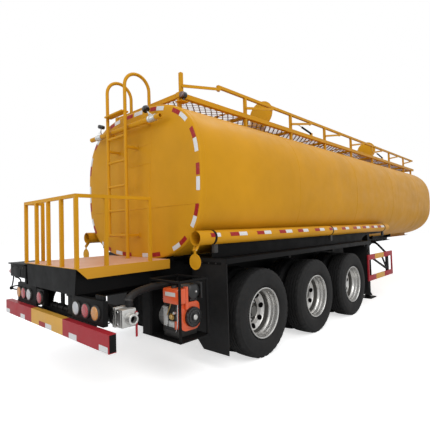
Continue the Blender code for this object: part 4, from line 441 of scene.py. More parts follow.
def make_camera():
    """The camera of the photograph, as fitted to its read points."""
    data = bpy.data.cameras.new("camera")
    data.sensor_width = SENSOR
    data.lens = CAMERA_FOCAL_PIXELS / PHOTO_PIXELS * SENSOR
    data.clip_end = 200
    camera = bpy.data.objects.new("camera", data)
    level = math.cos(CAMERA_PITCH)
    forward = Vector((level * math.cos(CAMERA_YAW), level * math.sin(CAMERA_YAW), math.sin(CAMERA_PITCH)))
    right = forward.cross(Vector(UP)).normalized()
    up = right.cross(forward)
    c, s = math.cos(CAMERA_ROLL), math.sin(CAMERA_ROLL)
    turn = Matrix((right * c + up * s, up * c - right * s, -forward)).transposed().to_4x4()
    camera.matrix_world = Matrix.Translation(CAMERA_PLACE) @ turn
    bpy.context.scene.collection.objects.link(camera)
    bpy.context.scene.camera = camera


def make_light(name, place, aim, size, power, colour=(1, 1, 1)):
    """A rectangular lamp that points at a place."""
    data = bpy.data.lights.new(name, "AREA")
    data.shape = "RECTANGLE"
    data.size, data.size_y = size
    data.energy = power
    data.color = colour
    light = bpy.data.objects.new(name, data)
    light.location = place
    light.rotation_euler = (Vector(aim) - Vector(place)).to_track_quat("-Z", "Y").to_euler()
    bpy.context.scene.collection.objects.link(light)


def make_sky():
    """White to the camera and in reflections, dimmer as a light."""
    world = bpy.data.worlds.new("world")
    sky = Graph(world)
    dim = sky.tree.nodes["Background"]
    sky.feed(dim.inputs["Color"], (0.93, 0.96, 1.0, 1))
    sky.feed(dim.inputs["Strength"], 0.5)
    white = sky.add("ShaderNodeBackground", {"Color": WHITE, "Strength": 1.0})
    rays = sky.add("ShaderNodeLightPath", {}).outputs
    shown = rays["Is Camera Ray"]
    for ray in ("Is Glossy Ray", "Is Transmission Ray"):
        shown = sky.add("ShaderNodeMath", {0: shown, 1: rays[ray]}, operation="MAXIMUM").outputs[0]
    mix = sky.add("ShaderNodeMixShader", {"Fac": shown, 1: dim.outputs[0], 2: white.outputs[0]})
    sky.feed(sky.tree.nodes["World Output"].inputs["Surface"], mix.outputs[0])
    bpy.context.scene.world = world


FLOOR_REACH = 45.0
FLOOR_Z = -0.001


def make_floor():
    """A floor that shows as white where nothing shades it, like the photograph's ground."""
    material = bpy.data.materials.new("floor")
    graph = Graph(material)
    graph.set(Base_Color=(0.86, 0.86, 0.86, 1), Roughness=0.9, Specular_IOR_Level=0.1)
    plain = graph.shader.outputs[0]
    glow = graph.add("ShaderNodeEmission", {"Color": WHITE, "Strength": 0.62}).outputs[0]
    bright = graph.add("ShaderNodeAddShader", {0: plain, 1: glow}).outputs[0]
    camera_ray = graph.add("ShaderNodeLightPath", {}).outputs["Is Camera Ray"]
    mix = graph.add("ShaderNodeMixShader", {"Fac": camera_ray, 1: plain, 2: bright})
    graph.feed(graph.tree.nodes["Material Output"].inputs["Surface"], mix.outputs[0])
    mesh = bpy.data.meshes.new("floor")
    corners = ((-1, -1), (1, -1), (1, 1), (-1, 1))
    mesh.from_pydata([(x * FLOOR_REACH, y * FLOOR_REACH, FLOOR_Z) for x, y in corners], [], [(0, 1, 2, 3)])
    mesh.materials.append(material)
    floor = bpy.data.objects.new("floor", mesh)
    bpy.context.scene.collection.objects.link(floor)


def make_stage():
    """Sky, lamps and floor."""
    bpy.context.scene.view_settings.view_transform = "Standard"
    make_sky()
    make_light("key", (-9, -11, 11), (0, 0, 1.6), (9, 9), 1000, (1.0, 0.98, 0.95))
    make_light("rear_fill", (-14, 3, 5), (-4, 0, 1.6), (7, 5), 240, (0.95, 0.98, 1.0))
    make_light("top", (1, -1, 12), (0, 0, 2), (14, 6), 420)
    make_floor()


def outline_point(angle, size=1.0, grow=0.0):
    """A place of the tank's outline, as y and the height above the tank's centre."""
    power = 2 / TANK_ROUNDNESS
    c, s = math.cos(angle), math.sin(angle)
    return (math.copysign(abs(c) ** power, c) * (TANK_HALF_WIDTH * size + grow),
            math.copysign(abs(s) ** power, s) * (TANK_HALF_HEIGHT * size + grow))


def section(x, size=1.0, grow=0.0, count=192):
    """The tank's section at x, with its points at even steps."""
    loop = [outline_point(2 * math.pi * i / count, size, grow) for i in range(count)]
    loop.append(loop[0])
    lengths = [0.0]
    for a, b in zip(loop, loop[1:]):
        lengths.append(lengths[-1] + math.dist(a, b))
    places = []
    j = 0
    for i in range(count):
        goal = lengths[-1] * i / count
        while j < count - 1 and lengths[j + 1] < goal:
            j += 1
        share = (goal - lengths[j]) / max(lengths[j + 1] - lengths[j], 1e-9)
        y, z = (p + (q - p) * share for p, q in zip(loop[j], loop[j + 1]))
        places.append((x, y, TANK_CENTRE_Z + z))
    return places


# Each head as pairs of its bulge and its share of the outline
REAR_HEAD = ((0, 1.0), (0.004, 0.999), (0.012, 0.994), (0.018, 0.985), (0.022, 0.97), (0.025, 0.93),
             (0.027, 0.8), (0.029, 0.6), (0.0296, 0.4), (0.03, 0.2), (0.03, 0.02))
FRONT_HEAD = ((0, 1.0), (0.07, 0.995), (0.14, 0.975), (0.22, 0.94), (0.29, 0.88), (0.35, 0.8), (0.4, 0.68),
              (0.44, 0.52), (0.46, 0.34), (0.47, 0.16), (0.47, 0.02))
BARREL_STEPS = 60
WELD_XS = (-0.92, 1.02, 3.05, 5.05, 7.05, 8.19)
WELD_BEAD = ((-0.007, -0.001), (-0.004, 0.0016), (0, 0.0026), (0.004, 0.0016), (0.007, -0.001))


def make_tank():
    """Smooth shell with weld seams and heads with rounded edges."""
    form = Form()
    step = (TANK_BARREL_FRONT_X - TANK_REAR_X) / BARREL_STEPS
    stations = [(TANK_REAR_X - depth, size) for depth, size in reversed(REAR_HEAD)]
    stations += [(TANK_REAR_X + step * k, 1.0) for k in range(1, BARREL_STEPS)]
    stations += [(TANK_BARREL_FRONT_X + depth, size) for depth, size in FRONT_HEAD]
    form.grid([section(x, size) for x, size in stations], "yellow", True, caps=True)
    for x in WELD_XS:
        form.grid([section(x + offset, grow=grow) for offset, grow in WELD_BEAD], "yellow", True)
    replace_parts(form.piece("tank_shell", 40), "tank")


def make_necks():
    """Two flanged manhole necks with bolts and the ears and pin of their lids."""
    for index, x in enumerate(MANHOLE_XS, start=1):
        form = Form()
        form.turn([(0.235, -0.25), (0.235, -0.03), (0.262, -0.028), (0.262, 0), (0.215, 0), (0.215, -0.25),
                   (0.235, -0.25)], (x, 0, NECK_TOP_Z), UP, "yellow", 64)
        for a, b in around(12, 0.25, math.pi / 12):
            form.bolt((x + a, b, NECK_TOP_Z - 0.001), UP, 0.009, 0.004, "steel")
        for side, _ in SIDES:
            form.box((x + 0.255, side * 0.0253, NECK_TOP_Z - 0.028),
                     (x + LID_REACH + 0.016, side * 0.0373, LID_HINGE_Z + 0.016), "yellow", 0.002)
        form.ring((x + LID_REACH, 0, LID_HINGE_Z), LEFT, 0, 0.007, 0.0413, "steel", 16)
        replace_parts(form.piece(f"dressed_neck_{index}", 40), f"manhole_neck_{index}")


LID_OPEN = math.radians(97)
LID_LOW = -0.007
LID_TOP = 0.005
LID_DOME = ((0, LID_LOW), (0.247, LID_LOW), (0.2515, LID_LOW + 0.002), (0.252, 0), (0.2515, LID_TOP - 0.001),
            (0.248, LID_TOP), (0.207, LID_TOP), (0.2, LID_TOP + 0.003), (0.16, 0.021), (0.122, 0.033),
            (0.11, 0.035), (0, 0.035))


def make_lids():
    """Smooth domed lids with a rolled edge, a hinge tongue and its knuckle, each standing open."""
    swing = Matrix.Rotation(LID_OPEN, 3, "Y")
    for index, body in ((1, "rear_lid"), (2, "front_lid")):
        form = Form()
        hinge = Vector((MANHOLE_XS[index - 1] + LID_REACH, 0, LID_HINGE_Z))
        axis = swing @ Vector(UP)
        form.turn(LID_DOME, hinge + swing @ Vector((-LID_REACH, 0, 0)), axis, "yellow", 72)
        tongue = [hinge + swing @ Vector((x, 0, 0.002)) for x in (-0.15, -0.012)]
        form.bar(*tongue, 0.05, 0.0135, "yellow", up=axis)
        form.turn([(0.0078, -0.025), (0.0155, -0.025), (0.016, -0.0235), (0.016, 0.0235), (0.0155, 0.025),
                   (0.0078, 0.025), (0.0078, -0.025)], hinge, LEFT, "yellow", 32)
        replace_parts(form.piece(f"dressed_lid_{index}", 40, body), f"manhole_lid_{index}")


def head_point(y, height, lift):
    """A place on the rear head's face, lifted off it. The height is above the tank's centre."""
    size = abs(y / TANK_HALF_WIDTH) ** TANK_ROUNDNESS + abs(height / TANK_HALF_HEIGHT) ** TANK_ROUNDNESS
    size = min(1.0, size ** (1 / TANK_ROUNDNESS))
    depth = REAR_HEAD[-1][0]
    for (d0, s0), (d1, s1) in zip(REAR_HEAD, REAR_HEAD[1:]):
        if s0 >= size >= s1:
            depth = d0 + (d1 - d0) * (s0 - size) / (s0 - s1)
            break
    return (TANK_REAR_X - depth - lift, y, TANK_CENTRE_Z + height)


# Weld lines of the rear head: radius and (y, z) places
HEAD_SEAMS = ((0.0025, ((-0.376, 2.82), (-0.345, 2.4), (-0.315, 2.1), (-0.286, 1.865))),
              (0.0045, ((1.08, 1.83), (0.6, 1.832), (0.1, 1.835), (-0.286, 1.838), (-0.7, 1.842),
                        (-1.12, 1.845))), (0.0025, ((0.08, 2.60), (-0.11, 2.605), (-0.36, 2.615))),
              (0.0025, ((0.08, 2.375), (-0.11, 2.378), (-0.35, 2.385))))


def make_head_seams():
    """Weld beads on the rear head."""
    form = Form()
    for radius, line in HEAD_SEAMS:
        places = [head_point(y, z - TANK_CENTRE_Z, 0) for y, z in line]
        form.tube(places, radius, "yellow", 8, smooth_steps=6)
    form.piece("rear_head_seams")


# Each pair of tapes round the rear head, in degrees: red from the first to the second, white to the third
HEAD_TAPES = ((69, 75, 81), (85.5, 90, 94.5), (100.5, 106, 113.5), (123.5, 133, 143.5), (152.4, 161.8, 171),
              (176.7, 180.2, 185.4), (192.7, 201.4, 210.8), (221.9, 231, 239.9), (253.3, 261, 267.5),
              (272, 279, 286), (292.8, 301, 309), (323.6, 333.5, 341.5), (348.5, 355, 362), (369, 377.3, 386),
              (396, 403, 411.5))
HEAD_TAPE_GAP = 0.15
HEAD_TAPE_STEPS = 10
HEAD_TAPE_LIFT = 0.0012
TAPE_IN = (0.022, 0.034, 0.048, 0.060, 0.072)


def head_tape(form, start, end, material):
    """A strip of tape that follows the rear head's rounded edge between two angles of its outline."""
    rings = []
    for inset in TAPE_IN:
        ring = []
        for k in range(HEAD_TAPE_STEPS + 1):
            y, z = outline_point(math.radians(start + (end - start) * k / HEAD_TAPE_STEPS))
            normal = Vector([math.copysign(abs(v / half) ** (TANK_ROUNDNESS - 1), v) / half
                             for v, half in ((y, TANK_HALF_WIDTH), (z, TANK_HALF_HEIGHT))]).normalized()
            ring.append(head_point(y - normal.x * inset, z - normal.y * inset, HEAD_TAPE_LIFT))
        rings.append(ring)
    form.grid(rings, material)


def make_head_tapes():
    """Red and white tapes round the rear head's edge."""
    form = Form()
    for start, middle, end in HEAD_TAPES:
        head_tape(form, start, middle - HEAD_TAPE_GAP, "tape_red")
        head_tape(form, middle + HEAD_TAPE_GAP, end, "tape_white")
    form.piece("rear_head_tapes")


# Outline of a lorry tyre's outer wall from the bead to the shoulder, as (radius, across) pairs
TYRE_WALL = [(0.300, 0.106), (0.303, 0.113), (0.312, 0.121), (0.326, 0.130), (0.338, 0.137), (0.345, 0.142),
             (0.352, 0.1435), (0.39, 0.1495), (0.42, 0.15), (0.45, 0.148), (0.478, 0.143), (0.487, 0.143),
             (0.491, 0.139), (0.51, 0.131), (0.524, 0.121), (0.5325, 0.112)]
TYRE_GROOVES = (0.066, 0.022, -0.022, -0.066)
GROOVE_EDGES = ((0.0065, 0), (0.0045, 0.014), (-0.0045, 0.014), (-0.0065, 0))
TREAD_CROWN = 0.35
TREAD_ZIGZAG = 0.0035
LUG_DEPTH = 0.010
LUG_ROWS = 3


def tyre(form, centre_y, side):
    """One tyre with zigzag grooves and shoulder lugs."""
    places = [(centre + offset, drop) for centre in TYRE_GROOVES for offset, drop in GROOVE_EDGES]
    tread = [(TYRE_RADIUS - TREAD_CROWN * across ** 2 - drop, across) for across, drop in places]
    profile = TYRE_WALL + tread + [(r, -a) for r, a in reversed(TYRE_WALL)]
    first, last = len(TYRE_WALL), len(TYRE_WALL) + len(tread)

    def spread(k, radius, across):
        index = profile.index((radius, across))
        if first <= index < last:
            across += TREAD_ZIGZAG if (k // 2) % 2 else -TREAD_ZIGZAG
        elif first - LUG_ROWS <= index < last + LUG_ROWS and k % 4 == 0:
            radius -= LUG_DEPTH
        return radius, across

    form.turn(profile, (0, centre_y, 0), (0, side, 0), "tyre", 144, spread)


# Profiles of the outer wheel, as (radius, height) pairs from the twin wheel's middle outwards
RIM_LIP = ((0.298, 0.2725), (0.3025, 0.2845), (0.3055, 0.2985), (0.3035, 0.3055), (0.298, 0.3085),
           (0.291, 0.3065), (0.2865, 0.2975), (0.2855, 0.2775), (0.2845, 0.2445), (0.2815, 0.2395),
           (0.2795, 0.2345), (0.2785, 0.2045), (0.275, 0.1965), (0.266, 0.1845), (0.2605, 0.1685))
RIM_WELL = ((0.2605, 0.1685), (0.259, 0.1325), (0.258, 0.1025), (0.2565, 0.0525))
DISC_RIM = ((0.2585, 0.085), (0.2555, 0.105), (0.251, 0.116), (0.246, 0.119), (0.2405, 0.117), (0.236, 0.111),
            (0.20, 0.0925))
DISC_BOWL = ((0.20, 0.0925), (0.168, 0.076), (0.158, 0.068))
DISC_FLOOR = ((0.158, 0.068), (0.151, 0.05), (0.147, 0.036), (0.142, 0.030), (0.11, 0.030), (0.086, 0.030))
HUB = ((0, 0.150), (0.03, 0.150), (0.055, 0.146), (0.062, 0.140), (0.064, 0.105), (0.078, 0.100),
       (0.083, 0.093), (0.085, 0.06), (0.1, 0.052), (0.104, 0.044), (0.104, 0.028))
WHEEL_NUT = ((0, 0.030), (0.0095, 0.030), (0.0105, 0.024), (0.0165, 0.022), (0.0175, 0.004), (0.021, 0),
             (0, 0))
# A flat near-black disc for each hand hole, painted shade in place of the opening
HAND_HOLE_SHADE = ((0, 0.0014), (0.034, 0.0014))
HAND_HOLE_EDGE = ((0.034, 0.0012), (0.035, 0.0026), (0.0375, 0.0026), (0.0395, -0.002))
HAND_HOLE_PHASE = 0.165
# Profiles of the inner wheel and its drum, and of the ring between the two rims
INNER_RIM = ((0.300, -0.2805), (0.304, -0.2925), (0.2975, -0.2985), (0.289, -0.2955), (0.286, -0.2845),
             (0.272, -0.25), (0.262, -0.18), (0.2565, -0.05), (0.24, -0.03), (0.22, -0.028), (0.206, -0.03),
             (0.2045, -0.10), (0.205, -0.262), (0.198, -0.27), (0.047, -0.27))
SPACER = ((0.300, -0.06), (0.2975, -0.045), (0.262, -0.03), (0.262, 0.03), (0.2975, 0.045), (0.300, 0.06))


def rims(form, side):
    """Both rims, the outer disc with its hand holes, nuts and hub, the inner rim and the drum, with painted
    shade in the rim's well and the hand holes.
    """
    outwards = (0, side, 0)
    tilt = tilt_to(outwards)
    # The rim's well takes a darker steel, painted shade
    for profile, material, facets in ((RIM_LIP, "rim_silver", 72), (RIM_WELL, "rim_well_shade", 72),
                                      (DISC_RIM, "rim_silver", 80), (DISC_BOWL, "disc_silver", 80),
                                      (DISC_FLOOR, "hub_grey", 80), (HUB, "hub_grey", 40),
                                      (INNER_RIM, "rim_silver", 64), (SPACER, "rim_silver", 64)):
        form.turn(profile, (0, 0, 0), outwards, material, facets)
    for a, b in around(8, 1.0, HAND_HOLE_PHASE):
        place = tilt @ Vector((a * 0.202, b * 0.202, 0.0936))
        facing = tilt @ Vector((a * -0.458, b * -0.458, 0.889))
        # Each hand hole is a near-black disc of painted shade in a steel edge
        form.turn(HAND_HOLE_SHADE, place, facing, "hole_shade", 28)
        form.turn(HAND_HOLE_EDGE, place, facing, "disc_silver", 28)
    for a, b in around(10, 0.1365, math.pi / 10):
        form.turn(WHEEL_NUT, tilt @ Vector((a, b, 0.0305)), outwards, "steel", 6)
    for a, b in around(6, 0.071):
        form.bolt(tilt @ Vector((a, b, 0.101)), outwards, 0.006, 0.006, "steel")
    form.tube([(x, side * y, 0) for x, y in ((0.27, 0.13), (0.262, 0.2), (0.255, 0.245))], 0.004, "steel", 8)


def make_wheels():
    """Six twin wheels that share two meshes, one for each side."""
    offset = (TYRE_WIDTH + TWIN_GAP) / 2
    for side, label in SIDES:
        form = Form()
        for centre_y in (offset * side, -offset * side):
            tyre(form, centre_y, side)
        rims(form, side)
        first = form.piece(f"dressed_wheel_1_{label}", 32, None, Vector())
        for number, x in enumerate(AXLE_XS, start=1):
            thing = first
            if number > 1:
                thing = bpy.data.objects.new(f"dressed_wheel_{number}_{label}", first.data)
                bpy.context.scene.collection.objects.link(thing)
            thing.location = Vector((x, side * TWIN_Y, AXLE_Z)) + ORIGIN
            thing.rotation_euler = (0, number * math.pi / 2, 0)
            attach(thing, f"wheel_{number}_{label}")
            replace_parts(thing, f"twin_wheel_{number}_{label}")


BUMPER_HALF = 1.225
BUMPER_CHANNEL = ((-2.11, 0.597), (-2.04, 0.597), (-2.04, 0.603), (-2.104, 0.603), (-2.104, 0.746),
                  (-2.04, 0.746), (-2.04, 0.752), (-2.11, 0.752))
BUMPER_COLOURS = ((-BUMPER_HALF, -0.385, "red"), (-0.385, 0.395, "bumper_yellow"),
                  (0.395, BUMPER_HALF, "red"))
BUMPER_TAPES = ((1.09, 1.215, "tape_white"), (0.59, 0.724, "tape_white"), (0.022, 0.182, "tape_red"),
                (-0.13, 0.018, "tape_white"), (-0.674, -0.52, "tape_white"), (-1.21, -1.07, "tape_white"))


def make_bumper():
    """Rear channel in red, yellow and red."""
    form = Form()
    for low, high, colour in BUMPER_COLOURS:
        form.prism(BUMPER_CHANNEL, low, high, colour)
    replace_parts(form.piece("bumper_channel", 30), "bumper")


def make_reflectors():
    """Reflectors along the bumper's lower edge, and black ends and a black strip in the channel as painted
    shade inside it.
    """
    form = Form()
    for y0, y1, colour in BUMPER_TAPES:
        form.box((-2.1112, y0, 0.5985), (-2.109, y1, 0.65), colour)
    # Black boxes at the channel's ends and along its web: painted shade inside the channel
    for side, _ in SIDES:
        form.box((-2.104, side * 1.221, 0.603), (-2.042, side * 1.2265, 0.746), "black", 0.001)
    form.box((-2.1035, -1.22, 0.604), (-2.1025, 1.22, 0.745), "black")
    form.piece("bumper_reflectors_and_shade")


# Lamp centres across the back, with the lens of each
TAIL_LAMPS = ((0.935, "lens_amber"), (0.786, "lens_red"), (0.622, "lens_clear"), (0.313, "lens_red"),
              (-0.552, "lens_clear"), (-0.733, "lens_red"), (-0.908, "lens_amber"))
LAMP_BEZEL = ((0.068, -0.016), (0.068, 0.001), (0.0665, 0.0035), (0.0615, 0.004), (0.060, 0.001))
LAMP_LENS = ((0.0605, 0.0005), (0.059, 0.006), (0.05, 0.0105), (0.03, 0.013), (0, 0.0135))


def make_lamps():
    """Lamp boxes with rounded edges, and round ribbed lenses in their bezels."""
    for (side, label), inner_y in zip(SIDES, (0.235, 0.345)):
        form = Form()
        form.box((-2.04, side * 0.4403, 0.758), (-1.99, side * 1.02, 0.98), "black", 0.006)
        form.box((-2.036, side * inner_y, 0.785), (-1.9803, side * 0.4443, 0.955), "black", 0.005)
        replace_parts(form.piece(f"dressed_lamp_box_{label}"), f"lamp_box_{label}")
    form = Form()
    for y, colour in TAIL_LAMPS:
        form.turn(LAMP_BEZEL, (-2.055, y, 0.868), REARWARD, "dark_cast", 48)
        form.turn(LAMP_LENS, (-2.055, y, 0.868), REARWARD, colour, 48)
    form.piece("tail_lamps")


GRATING_LOW = 3.1703
GRATING_HIGH = 3.1897
GRATING_REAR = -0.818
GRATING_FRONT = 8.678
GRATING_HALF = 0.6327
GRATING_BAR = 0.012
GRATING_BAR_XS = (GRATING_REAR, 0.19, 2.63, 3.24, 3.85, 4.46, 5.07, 5.68, 7.2, 8.1,
                  GRATING_FRONT - GRATING_BAR)
HATCH_HALF = 0.312
STRAND_PITCH_X = 0.058
STRAND_PITCH_Y = 0.05
STRAND_SECTION = ((-0.010, 3.1745), (0.008, 3.1765), (0.010, 3.186), (-0.008, 3.184))


def mesh_strand(form, run):
    """One zigzag strand of the expanded metal."""
    if len(run) > 1:
        form.grid([[(x, y + dy, z) for dy, z in STRAND_SECTION] for x, y in run], "mesh_steel", True)


def make_grating():
    """Expanded metal between the kerbs, with edge bars, cross bars and a framed hatch round each manhole."""
    form = Form()
    half, bar, hatch = GRATING_HALF, GRATING_BAR, HATCH_HALF
    bars = [(x, -half, x + bar, half) for x in GRATING_BAR_XS
            if all(abs(x - m) >= hatch + bar for m in MANHOLE_XS)]
    for side, _ in SIDES:
        bars.append((GRATING_REAR, side * half, GRATING_FRONT, side * (half - bar)))
        for m in MANHOLE_XS:
            bars.append((m + side * hatch, -half, m + side * (hatch + bar), half))
            bars.append((m - hatch, side * hatch, m + hatch, side * (hatch + bar)))
    for x0, y0, x1, y1 in bars:
        form.box((x0, y0, GRATING_LOW), (x1, y1, GRATING_HIGH), "yellow", 0.002)
    steps = int((GRATING_FRONT - GRATING_REAR - bar) / STRAND_PITCH_X)
    for k in range(int((2 * half - bar) / STRAND_PITCH_Y)):
        y = -half + bar + (k + 0.5) * STRAND_PITCH_Y
        run = []
        for i in range(steps + 1):
            x = GRATING_REAR + bar / 2 + i * STRAND_PITCH_X
            if abs(y) < hatch and any(abs(x - m) < hatch for m in MANHOLE_XS):
                mesh_strand(form, run)
                run = []
            else:
                run.append((x, y + (STRAND_PITCH_Y / 2 if (i + k) % 2 else -STRAND_PITCH_Y / 2)))
        mesh_strand(form, run)
    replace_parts(form.piece("expanded_grating", 30), "walkway_grating")


SPRAY_X = -1.105
SPRAY_Z = 2.855
SPRAY_LOW_Y = -0.68
SPRAY_END = 1.55
SPRAY_PIPE = ((0, 0.085), (0.021, 0.085), (0.021, 0.0015), (0.0225, 0), (0.0285, 0), (0.03, 0.0015),
              (0.03, SPRAY_END - 0.0015), (0.0285, SPRAY_END), (0.0225, SPRAY_END),
              (0.021, SPRAY_END - 0.0015), (0.021, SPRAY_END - 0.085), (0, SPRAY_END - 0.085))
VALVE_HALF = ((0.036, 0.024), (0.034, 0.04), (0.039, 0.044), (0.039, 0.062), (0.037, 0.065), (0.03, 0.065))
VALVE_BODY = [(r, -h) for r, h in reversed(VALVE_HALF)] + [(0.0415, -0.006),
                                                           (0.0415, 0.006)] + list(VALVE_HALF)
VALVE_STEM = [(0.026, 0.02), (0.026, 0.05), (0.021, 0.056), (0.021, 0.066), (0.013, 0.07), (0.011, 0.085),
              (0.0075, 0.088)]
HAND_WHEEL = ((0, -0.012), (0.012, -0.016), (0.034, -0.025), (0.043, -0.02), (0.047, -0.008), (0.047, 0.008),
              (0.043, 0.019), (0.034, 0.025), (0.014, 0.018), (0.012, 0.021), (0, 0.021))


def make_spray_pipe():
    """Smooth open pipe across the rear head, with two cast valves and their black hand wheels."""
    form = Form()
    form.turn(SPRAY_PIPE, (SPRAY_X, SPRAY_LOW_Y, SPRAY_Z), LEFT, "yellow", 40)
    for y in (-0.35, 0.45):
        form.box((SPRAY_X, y - 0.015, SPRAY_Z - 0.015), (TANK_REAR_X + 0.004, y + 0.015, SPRAY_Z + 0.015),
                 "yellow", 0.003)
        form.ring((SPRAY_X, y, SPRAY_Z), LEFT, 0.03, 0.0335, 0.017, "yellow", 40, 0.001)
    for y, shift in ((-0.532, 0.12), (0.653, -0.05)):
        middle = Vector((SPRAY_X, y, SPRAY_Z))
        lean = Vector((0, shift, 0.135))
        form.turn(VALVE_BODY, middle, LEFT, "cast", 32)
        form.turn(VALVE_STEM + [(0.0075, lean.length)], middle, lean, "steel", 24)
        form.turn(HAND_WHEEL, middle + lean, lean, "black_plastic", 48, lambda k, r,
                  h: (r * (1 - 0.07 * (1 + math.cos(k * math.pi / 4)) / 2) if r > 0.03 else r, h))
    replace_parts(form.piece("dressed_spray_pipe", 40), "spray_pipe")


LADDER_X = -1.165
LADDER_LANDING_X = -0.80
LADDER_TOP = 3.54
LADDER_HOOP = 0.1825
LADDER_YS = (-0.07, 0.335)
LADDER_FOOT_ZS = (1.2403, 1.496)
RUNG_LOW = 1.517
RUNG_PITCH = 0.3075
HOOP_STEPS = 24


def make_ladder():
    """Ladder with smooth hooped stiles, round rungs and a flat top step."""
    form = Form()
    middle_x = (LADDER_X + LADDER_LANDING_X) / 2
    for y, low in zip(LADDER_YS, LADDER_FOOT_ZS):
        hoop = [(middle_x - LADDER_HOOP * math.cos(a), y,
                 LADDER_TOP - LADDER_HOOP + LADDER_HOOP * math.sin(a))
                for a in (math.pi * k / HOOP_STEPS for k in range(HOOP_STEPS + 1))]
        form.tube([(LADDER_X, y, low), *hoop, (LADDER_LANDING_X, y, 3.1903)], 0.021, "yellow", 20)
        for z in (RUNG_LOW, 2.6):
            form.box((LADDER_X, y - 0.015, z - 0.015), (TANK_REAR_X + 0.004, y + 0.015, z + 0.015), "yellow",
                     0.003)
            form.box((-1.006, y - 0.03, z - 0.03), (TANK_REAR_X - 0.02, y + 0.03, z + 0.03), "yellow", 0.002)
    form.turn([(0.021, 0), (0.04, 0), (0.04, 0.006), (0.021, 0.006)],
              (LADDER_X, LADDER_YS[0], LADDER_FOOT_ZS[0]), UP, "yellow", 24)
    for k in range(5):
        z = RUNG_LOW + RUNG_PITCH * k
        form.tube([(LADDER_X, y, z) for y in LADDER_YS], 0.016, "yellow", 16)
        for y in (-0.047, 0.312):
            form.ring((LADDER_X, y, z), LEFT, 0.016, 0.0195, 0.005, "yellow", 16, 0.003)
    form.box((LADDER_X - 0.05, LADDER_YS[0], 3.029), (LADDER_X + 0.05, LADDER_YS[1], 3.049), "yellow", 0.003)
    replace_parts(form.piece("dressed_ladder", 40), "ladder")


TUBE_Y = 1.152
TUBE_Z = 1.479
TUBE_REAR = -1.064
TUBE_END = 5.684
TUBE_BORE = [(0.073, TUBE_END - 0.05), (0.073, 0.001), (0.0745, 0), (0.076, 0), (0.077, 0.001)]
TUBE_NOSE = [(0.077, TUBE_END - 0.045), (0.0755, TUBE_END - 0.03), (0.069, TUBE_END - 0.014),
             (0.055, TUBE_END - 0.005), (0.03, TUBE_END - 0.001), (0, TUBE_END)]
TUBE_BRACKETS = (0.1, 2.25, 4.3)
TUBE_STRAPS = (-0.825, 1.93, 4.33)
# Each pair of tapes along a hose tube: red from the first to the second, white to the third
TUBE_TAPES = ((-0.905, -0.83, -0.753), (-0.592, -0.44, -0.292), (-0.102, 0.045, 0.192), (0.383, 0.535, 0.691),
              (0.845, 0.985, 1.131), (1.331, 1.48, 1.631), (1.797, 1.905, 2.073), (2.259, 2.40, 2.539),
              (2.717, 2.87, 3.029), (3.147, 3.31, 3.47), (3.578, 3.72, 3.90), (3.95, 4.10, 4.279))
TUBE_TAPE_GAP = 0.003
TUBE_TAPE_RADIUS = 0.078
CAP_HINGE_X = -1.073
CAP_HINGE_Z = 1.359
CAP = ((0, 0.004), (0.05, 0.004), (0.056, 0.0025), (0.074, 0.0025), (0.079, 0.004), (0.082, 0.002),
       (0.082, -0.003), (0.081, -0.004), (0, -0.004))
CAP_EAR = ((CAP_HINGE_X - 0.01, CAP_HINGE_Z - 0.01), (CAP_HINGE_X + 0.01, CAP_HINGE_Z - 0.01),
           (-1.024, TUBE_Z - 0.073), (-1.054, TUBE_Z - 0.073), (CAP_HINGE_X - 0.01, CAP_HINGE_Z + 0.005))


def tube_tape(form, side, start, stop, material):
    """A strip of tape along the outer upper side of a hose tube."""
    angles = [math.radians(4 + 34 * k / 8) for k in range(9)]
    places = [(side * (TUBE_Y + TUBE_TAPE_RADIUS * math.cos(a)), TUBE_Z + TUBE_TAPE_RADIUS * math.sin(a))
              for a in angles]
    form.grid([[(x, y, z) for y, z in places] for x in (start, stop)], material)


def make_hose_tubes():
    """Smooth hose tubes with a rolled mouth, a domed front end, brackets, tapes and their hinged caps."""
    for side, label in SIDES:
        form = Form()
        y = side * TUBE_Y
        for profile in (TUBE_BORE + TUBE_NOSE, [TUBE_BORE[0], (0, TUBE_END - 0.05)]):
            form.turn(profile, (TUBE_REAR, y, TUBE_Z), FORWARD, "yellow", 48)
        for x in TUBE_BRACKETS:
            form.box((x - 0.025, side * 0.833, TUBE_Z - 0.03),
                     (x + 0.025, side * (TUBE_Y - 0.05), TUBE_Z + 0.03), "yellow", 0.003)
        for x in TUBE_STRAPS:
            form.ring((x, y, TUBE_Z), FORWARD, 0.077, 0.0795, 0.017, "black", 48, 0.001)
            form.box((x + 0.03, side * (TUBE_Y - 0.03), TUBE_Z - 0.17),
                     (x + 0.09, side * (TUBE_Y + 0.012), TUBE_Z - 0.0725), "dark_cast", 0.008)
        for ear in (-1, 1):
            form.prism(CAP_EAR, y + ear * 0.0153, y + ear * 0.0233, "yellow")
        hinge = (CAP_HINGE_X, y, CAP_HINGE_Z)
        form.ring(hinge, LEFT, 0, 0.005, 0.0245, "steel", 16)
        for start, middle, stop in TUBE_TAPES:
            tube_tape(form, side, start, middle - TUBE_TAPE_GAP, "tape_red")
            tube_tape(form, side, middle + TUBE_TAPE_GAP, stop, "tape_white")
        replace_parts(form.piece(f"dressed_hose_tube_{label}", 40), f"hose_tube_{label}")
        form = Form()
        form.turn(CAP, (CAP_HINGE_X, y, CAP_HINGE_Z - 0.12), REARWARD, "yellow", 48)
        form.box((CAP_HINGE_X - 0.004, y - 0.015, CAP_HINGE_Z - 0.06),
                 (CAP_HINGE_X + 0.004, y + 0.015, CAP_HINGE_Z), "yellow", 0.001)
        form.ring(hinge, LEFT, 0.0056, 0.01, 0.015, "yellow", 20)
        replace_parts(form.piece(f"dressed_cap_{label}", 40, f"{label}_cap"),
                    f"hose_tube_cap_{label}")


GUARD_Y = 1.175
GUARD_REAR = 3.42
GUARD_FRONT = 4.79
